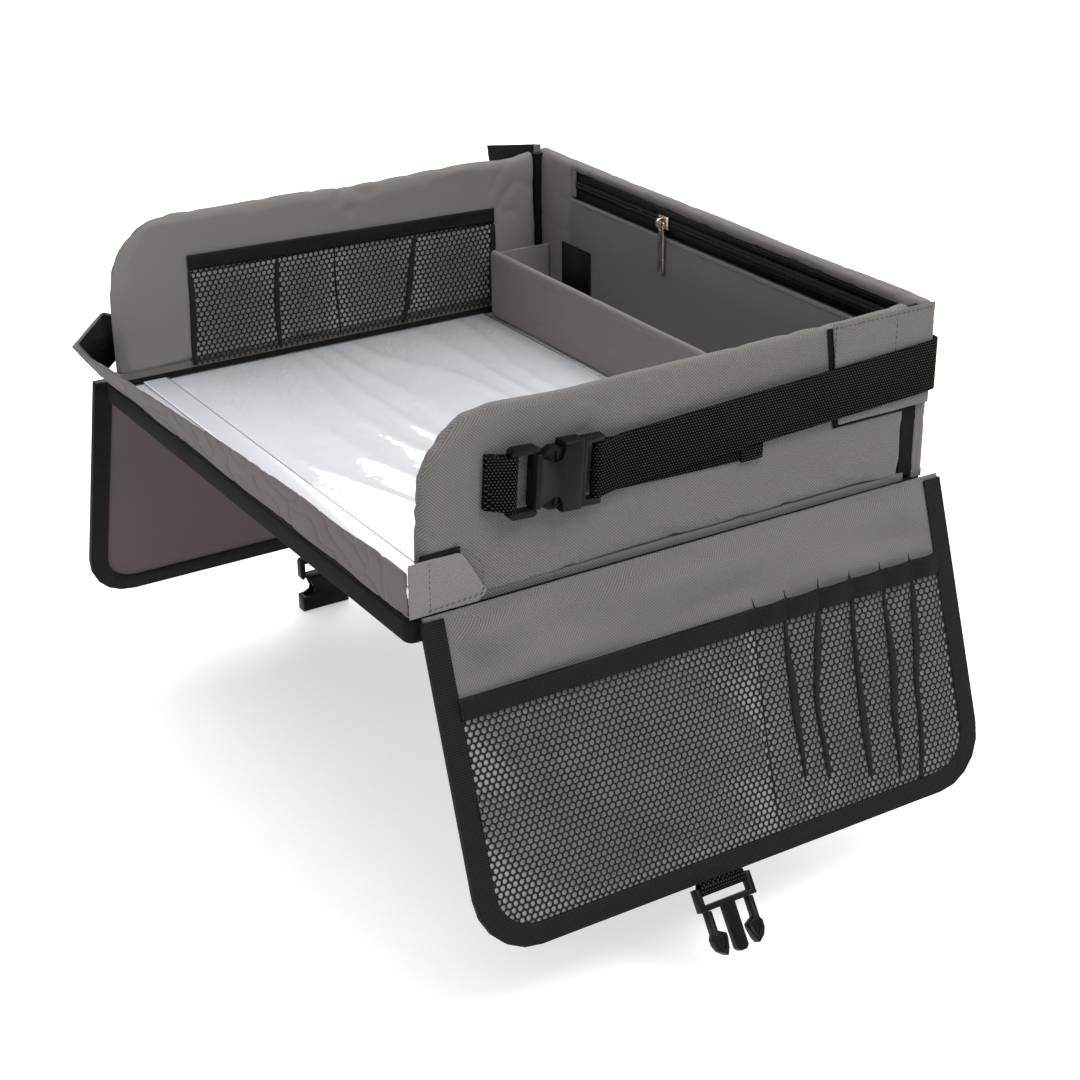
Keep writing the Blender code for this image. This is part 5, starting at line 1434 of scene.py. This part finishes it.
class HangingFlap(Assembly):
    """Side flap with bound edges, a mesh pocket and pleated pen pockets."""

    pleats = (
        ((48.8, 54), (46.4, 73), (46.6, 94), (45.4, 113), (45.7, 135), (45.1, 150)),
        ((73.2, 54), (69.8, 68), (65.7, 87), (61.1, 103), (60.7, 121), (62.2, 140), (61.6, 154)),
        ((97.6, 53), (95.4, 66), (93.4, 86), (92.7, 107), (91.9, 128), (91.6, 149), (91.1, 163)),
        ((120.1, 56), (119.2, 72), (119.8, 93), (117.7, 114), (113.6, 133), (114.6, 151),
         (111.1, 169)),
        ((142.6, 57), (140, 73), (138.6, 94), (133.8, 114), (133, 135), (130.4, 160),
         (125.7, 174)),
    )
    seam = ((27.7, 52), (26.3, 68), (25.1, 89), (23.5, 113), (22.8, 143), (22.3, 172))
    left_gain = 0.2
    rolled_top = -0.0006
    plain_top = 0.0015
    tacks = ((29.3, 35.5), (51.3, 35.8), (74.8, 34.6), (97.3, 35.4), (120.0, 36.0),
             (142.5, 36.5))

    def __init__(self, frame: dict, sizes: FlapSizes) -> None:
        """Keeps the frame and the flap's sizes."""
        super().__init__(frame)
        self.sizes = sizes
        self.prefix = sizes.side.name.lower()
        side = sizes.side.value
        self.down = np.array([side * math.sin(sizes.tilt), 0, -math.cos(sizes.tilt)])
        self.normal = np.array([side * math.cos(sizes.tilt), 0, math.sin(sizes.tilt)])

    def at(self, w: np.ndarray, l: np.ndarray, out: np.ndarray) -> np.ndarray:
        """Points at w along the seam, l down the flap and out from its middle."""
        w, l, out = np.broadcast_arrays(w, l, out)
        start = np.array(self.sizes.hinge)
        return (start + w[..., None] * np.array([0, 1, 0]) + l[..., None] * self.down
                + out[..., None] * self.normal)

    def half_width(self, l: np.ndarray, inset: float) -> np.ndarray:
        """Half the width at l down the flap, inside its outline by inset."""
        radius = self.sizes.corner - inset
        deep = np.clip(l - (self.sizes.length - self.sizes.corner), 0, radius)
        return self.sizes.half - self.sizes.corner + np.sqrt(radius ** 2 - deep ** 2)

    def panel_wave(self, w: np.ndarray, l: np.ndarray) -> np.ndarray:
        """How far the board's cloth swells, with soft folds below its seam."""
        s = self.sizes
        inner = np.clip((s.half - s.binding - np.abs(w)) / 0.018, 0, 1)
        roll = 0.0030 * np.exp(-((l - 0.014) / 0.010) ** 2)
        flat = np.stack([w, l, l * 0], axis=-1).reshape(-1, 3)
        folds = 0.0030 * cloud(flat, (0.055, 0.022, 1), 3.7 + s.side.value).reshape(w.shape)
        folds = folds + 0.0010 * np.sin(w / 0.026 + l / 0.008)
        fade = np.clip((s.band_top - l) / 0.012, 0, 1) * np.clip(l / 0.004, 0, 1)
        gain = 1.0 if s.side is Side.RIGHT else self.left_gain
        return gain * inner * (roll + folds) * fade

    def bounds_at(self, l: np.ndarray) -> list[np.ndarray]:
        """Across positions, at l, of the seams between the pen pockets."""
        lines = [self.seam, *self.pleats]
        found = []
        for line in lines:
            data = np.array(line) * MM
            found.append(np.interp(l, data[:, 1], data[:, 0]))
        edge = self.sizes.half - self.sizes.binding
        return [np.full_like(l, -edge), *found, np.full_like(l, edge)]

    def pocket_out(self, w: np.ndarray, l: np.ndarray) -> np.ndarray:
        """How far the pocket's cloth stands off the panel's face."""
        s = self.sizes
        top, end = s.band_top, s.length - s.binding
        share = np.clip((l - top) / (end - top), 0, 1)
        lines = self.bounds_at(l)
        lift = np.zeros_like(w)
        for index, (first, second) in enumerate(zip(lines, lines[1:])):
            across = np.clip((w - first) / np.maximum(second - first, 1e-4), 0, 1)
            inside = (w >= first) & (w <= second)
            if index == 0:
                rise = 0.0030 * np.sin(math.pi * across) ** 0.7
                rise = rise * np.sin(math.pi * np.clip(share, 0.12, 1)) ** 0.8
            else:
                rise = 0.0024 * np.sin(math.pi * across) ** 0.8
                rise = rise * np.clip(1.08 - share, 0, 1) ** 0.5
            lift = np.where(inside, rise, lift)
        ripple = 0.0011 * np.sin((w * 0.8 - l) / 0.010) * np.sin(math.pi * share)
        return np.maximum(lift + ripple * (w < 0.02), 0)

    def build(self) -> None:
        """Builds the flap's pieces."""
        panel = self.panel()
        binding = self.rounded(f"{self.prefix}_flap_binding", f"{self.prefix}_binding",
                               "black_binding_upright", 0.0006, 3)
        net, band = self.net(), self.band()
        folds = [self.strip(f"fold_{i}", line, 0.0046, 0.0019, "mesh_strand")
                 for i, line in enumerate(self.pleats)]
        folds.append(self.strip("seam", self.seam, 0.0009, 0.0004, "black_thread"))
        folds += [self.tack(i, w, l) for i, (w, l) in enumerate(self.tacks)]
        strap = self.rounded(f"{self.prefix}_buckle_strap", f"{self.prefix}_strap",
                             "black_webbing", 0.0004, 2)

    def panel(self) -> bpy.types.Object:
        """The stiff cloth panel, grey outside and lined inside."""
        s = self.sizes
        top = self.rolled_top if s.side is Side.RIGHT else self.plain_top
        rows = np.concatenate([np.linspace(top, 0.05, 52), np.linspace(0.053, 0.15, 24),
                               np.linspace(0.152, s.length - s.wall, 24)])
        shares = np.linspace(-1, 1, 150)
        share, l = np.meshgrid(shares, rows, indexing="ij")
        w = share * self.half_width(l, s.wall)
        points = self.at(w, l, self.panel_wave(w, l))
        if s.side is Side.RIGHT:
            points = points[::-1]
        piece = closed_sheet(f"{self.prefix}_panel", points, s.panel, "grey_oxford", "lining")
        # The front below the pocket band gets the lighter cloth: painted light against the shade
        # under the net.
        piece.data.materials.append(FINISHES.get("grey_behind_net"))
        band = self.at(np.array(0.0), np.array(s.band_top + s.band_height / 2), np.array(0.0))
        for polygon in piece.data.polygons:
            if polygon.material_index == 0 and polygon.center[2] < band[2]:
                polygon.material_index = 2
        return self.fit(piece, f"{self.prefix}_flap_panel", True)

    def net(self) -> bpy.types.Object:
        """The pocket's mesh cloth."""
        s = self.sizes
        edge, top, end = s.half - s.binding, s.band_top + 0.0095, s.length - s.binding
        middle, face = (top + end) / 2, s.panel / 2 + 0.0008

        def inside(u: np.ndarray, v: np.ndarray) -> np.ndarray:
            """Cells within the pocket's outline."""
            l = middle - v
            return (np.abs(u) < self.half_width(l, s.binding - 0.001)) & (l > top) & \
                (l < end + 0.0008)

        def place(u: np.ndarray, v: np.ndarray, w: np.ndarray) -> np.ndarray:
            """Puts points of the flat net on the pocket."""
            l = middle - v
            return self.at(u, l, face + self.pocket_out(u, l) + w)

        piece = NET.spread(f"{self.prefix}_net", edge * 2 + 0.004, end - top + 0.004, inside,
                           place)
        return self.fit(piece, f"{self.prefix}_flap_net", True)

    def band(self) -> bpy.types.Object:
        """Bound top edge of the pocket."""
        s = self.sizes
        w, l = np.meshgrid(np.linspace(-s.half + s.binding - 0.001, s.half - s.binding + 0.001,
                                       260),
                           np.linspace(s.band_top, s.band_top + s.band_height, 7), indexing="ij")
        curve = 0.0004 * np.sin(math.pi * (l - s.band_top) / s.band_height)
        out = s.panel / 2 + 0.0010 + self.pocket_out(w, np.maximum(l, s.band_top + 0.006)) + curve
        points = self.at(w, l, out)
        if s.side is Side.RIGHT:
            points = points[::-1]
        piece = closed_sheet(f"{self.prefix}_band", points, 0.0013, "black_binding")
        return self.fit(piece, f"{self.prefix}_flap_band", True)

    def strip(self, name: str, line: tuple, width: float, height: float,
              finish: str) -> bpy.types.Object:
        """A fold or seam that runs down the pocket along a line of (w, l) in millimetres."""
        data = np.array(line) * MM
        l = np.linspace(data[0, 1], data[-1, 1], 40)
        w = np.interp(l, data[:, 1], data[:, 0])
        w = np.convolve(np.pad(w, 3, mode="edge"), np.ones(7) / 7, mode="valid")
        base = self.sizes.panel / 2 + 0.0006
        path = self.at(w, l, np.full_like(w, base))
        across, out = np.tile((0.0, 1.0, 0.0), (40, 1)), np.tile(self.normal, (40, 1))
        widths = width * (1.0 + 0.25 * np.sin(np.linspace(0, 7, 40) + data[0, 0] * 90))
        piece = ribbon(f"{self.prefix}_{name}", path, across, out, widths, height, finish)
        return self.fit(piece, f"{self.prefix}_flap_net")

    def tack(self, index: int, w: float, l: float) -> bpy.types.Object:
        """A bar tack of black thread that runs up from the band."""
        l = np.linspace(l * MM + 0.0035, self.sizes.band_top + 0.010, 12)
        base = self.sizes.panel / 2
        lift = np.where(l > self.sizes.band_top, 0.0014, 0.0) + self.panel_wave(
            np.full_like(l, w * MM), l)
        path = self.at(np.full_like(l, w * MM), l, base + lift)
        across, out = np.tile((0.0, 1.0, 0.0), (12, 1)), np.tile(self.normal, (12, 1))
        piece = ribbon(f"{self.prefix}_tack_{index}", path, across, out,
                       np.linspace(0.0006, 0.0018, 12), 0.0008, "black_thread")
        return self.fit(piece, f"{self.prefix}_flap_net")


class FlapBuckles(Assembly):
    """Buckle halves that hang from the two flaps."""

    def build(self) -> None:
        """Builds both halves."""
        self.rounded("right_male_frame", "right_buckle_frame", "black_plastic", 0.0005, 3)
        self.rounded("right_prong_rear", "right_latch_rear", "black_plastic", 0.0004, 2)
        self.rounded("right_prong_front", "right_latch_front", "black_plastic", 0.0004, 2)
        self.rounded("left_female_body", "left_buckle_body", "black_plastic", 0.00045, 3)


# --- studio -----------------------------------------------------------------------------------


@dataclass(frozen=True)
class Studio:
    """Pale floor, soft light and the photograph's camera."""

    target: tuple[float, float, float] = (0.0544, -0.0004, -0.0429)
    azimuth: float = math.radians(57.92)
    elevation: float = math.radians(25.12)
    roll: float = math.radians(-0.33)
    distance: float = 1.2839
    lens: float = 69.8
    world: float = 0.34
    # Name, place, side length and watts of each soft light
    lights: tuple[tuple[str, tuple[float, float, float], float, float], ...] = (
        ("top_light", (0.0, 0.0, 3.0), 8.0, 340.0),
        ("key_light", (1.7, 0.5, 2.3), 1.0, 46.0),
        ("back_light", (-2.3, 1.44, 1.30), 1.5, 22.0),
    )
    floor_half: float = 6.0
    floor_gap: float = 0.0005

    def build(self) -> None:
        """Builds the floor, the lights, the world and the camera."""
        self.floor()
        for name, place, size, power in self.lights:
            self.light(name, place, size, power)
        world = bpy.data.worlds.new("studio_world")
        world.use_nodes = True
        back = world.node_tree.nodes["Background"]
        back.inputs["Color"].default_value = (1.0, 1.0, 1.0, 1.0)
        back.inputs["Strength"].default_value = self.world
        bpy.context.scene.world = world
        bpy.context.scene.view_settings.view_transform = "Standard"
        self.camera()

    def floor(self) -> None:
        """A wide pale floor just below the lowest buckle."""
        low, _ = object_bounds()
        size, level = self.floor_half, low[2] - self.floor_gap
        verts = np.array([(-size, -size, level), (size, -size, level), (size, size, level),
                          (-size, size, level)])
        new_piece("studio_floor", verts, [(0, 1, 2, 3)], "studio_floor")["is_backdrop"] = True

    def light(self, name: str, place: tuple[float, float, float], size: float,
              power: float) -> None:
        """A square soft light that faces the target."""
        data = bpy.data.lights.new(name, "AREA")
        data.size, data.energy = size, power
        made = bpy.data.objects.new(name, data)
        aim = Vector(self.target) - Vector(place)
        made.matrix_world = Matrix.Translation(place) @ aim.to_track_quat("-Z", "Y").to_matrix(
            ).to_4x4()
        bpy.context.scene.collection.objects.link(made)

    def camera(self) -> None:
        """The camera, at the photograph's angle."""
        data = bpy.data.cameras.new("camera")
        data.lens, data.sensor_width = self.lens, 36.0
        data.clip_start, data.clip_end = 0.05, 20.0
        flat = math.cos(self.elevation)
        offset = Vector((math.sin(self.azimuth) * flat, -math.cos(self.azimuth) * flat,
                         math.sin(self.elevation)))
        place = Vector(self.target) + offset * self.distance
        turn = (-offset).to_track_quat("-Z", "Y").to_matrix().to_4x4()
        made = bpy.data.objects.new("camera", data)
        made.matrix_world = Matrix.Translation(place) @ turn @ Matrix.Rotation(self.roll, 4, "Z")
        bpy.context.scene.collection.objects.link(made)
        bpy.context.scene.camera = made


def main() -> None:
    """Builds every sub-assembly in order, then the studio."""
    logging.basicConfig(level=logging.INFO, format="%(message)s")
    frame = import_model()
    right = FlapSizes(Side.RIGHT, (0.2076, 0.005, 0.015), math.radians(18.5), 0.1852)
    left = FlapSizes(Side.LEFT, (-0.2076, -0.0075, 0.015), math.radians(17.0), 0.1905)
    for part in (Base(frame), Walls(frame), RearPocket(frame), CornerTabs(frame),
                 FrontLip(frame), Divider(frame), SidePocket(frame), WaistBelt(frame),
                 HangingFlap(frame, right), HangingFlap(frame, left), FlapBuckles(frame)):
        part.build()
        LOG.info("built %s", type(part).__name__)
    Studio().build()
    bpy.context.view_layer.update()


if __name__ == "__main__":
    main()
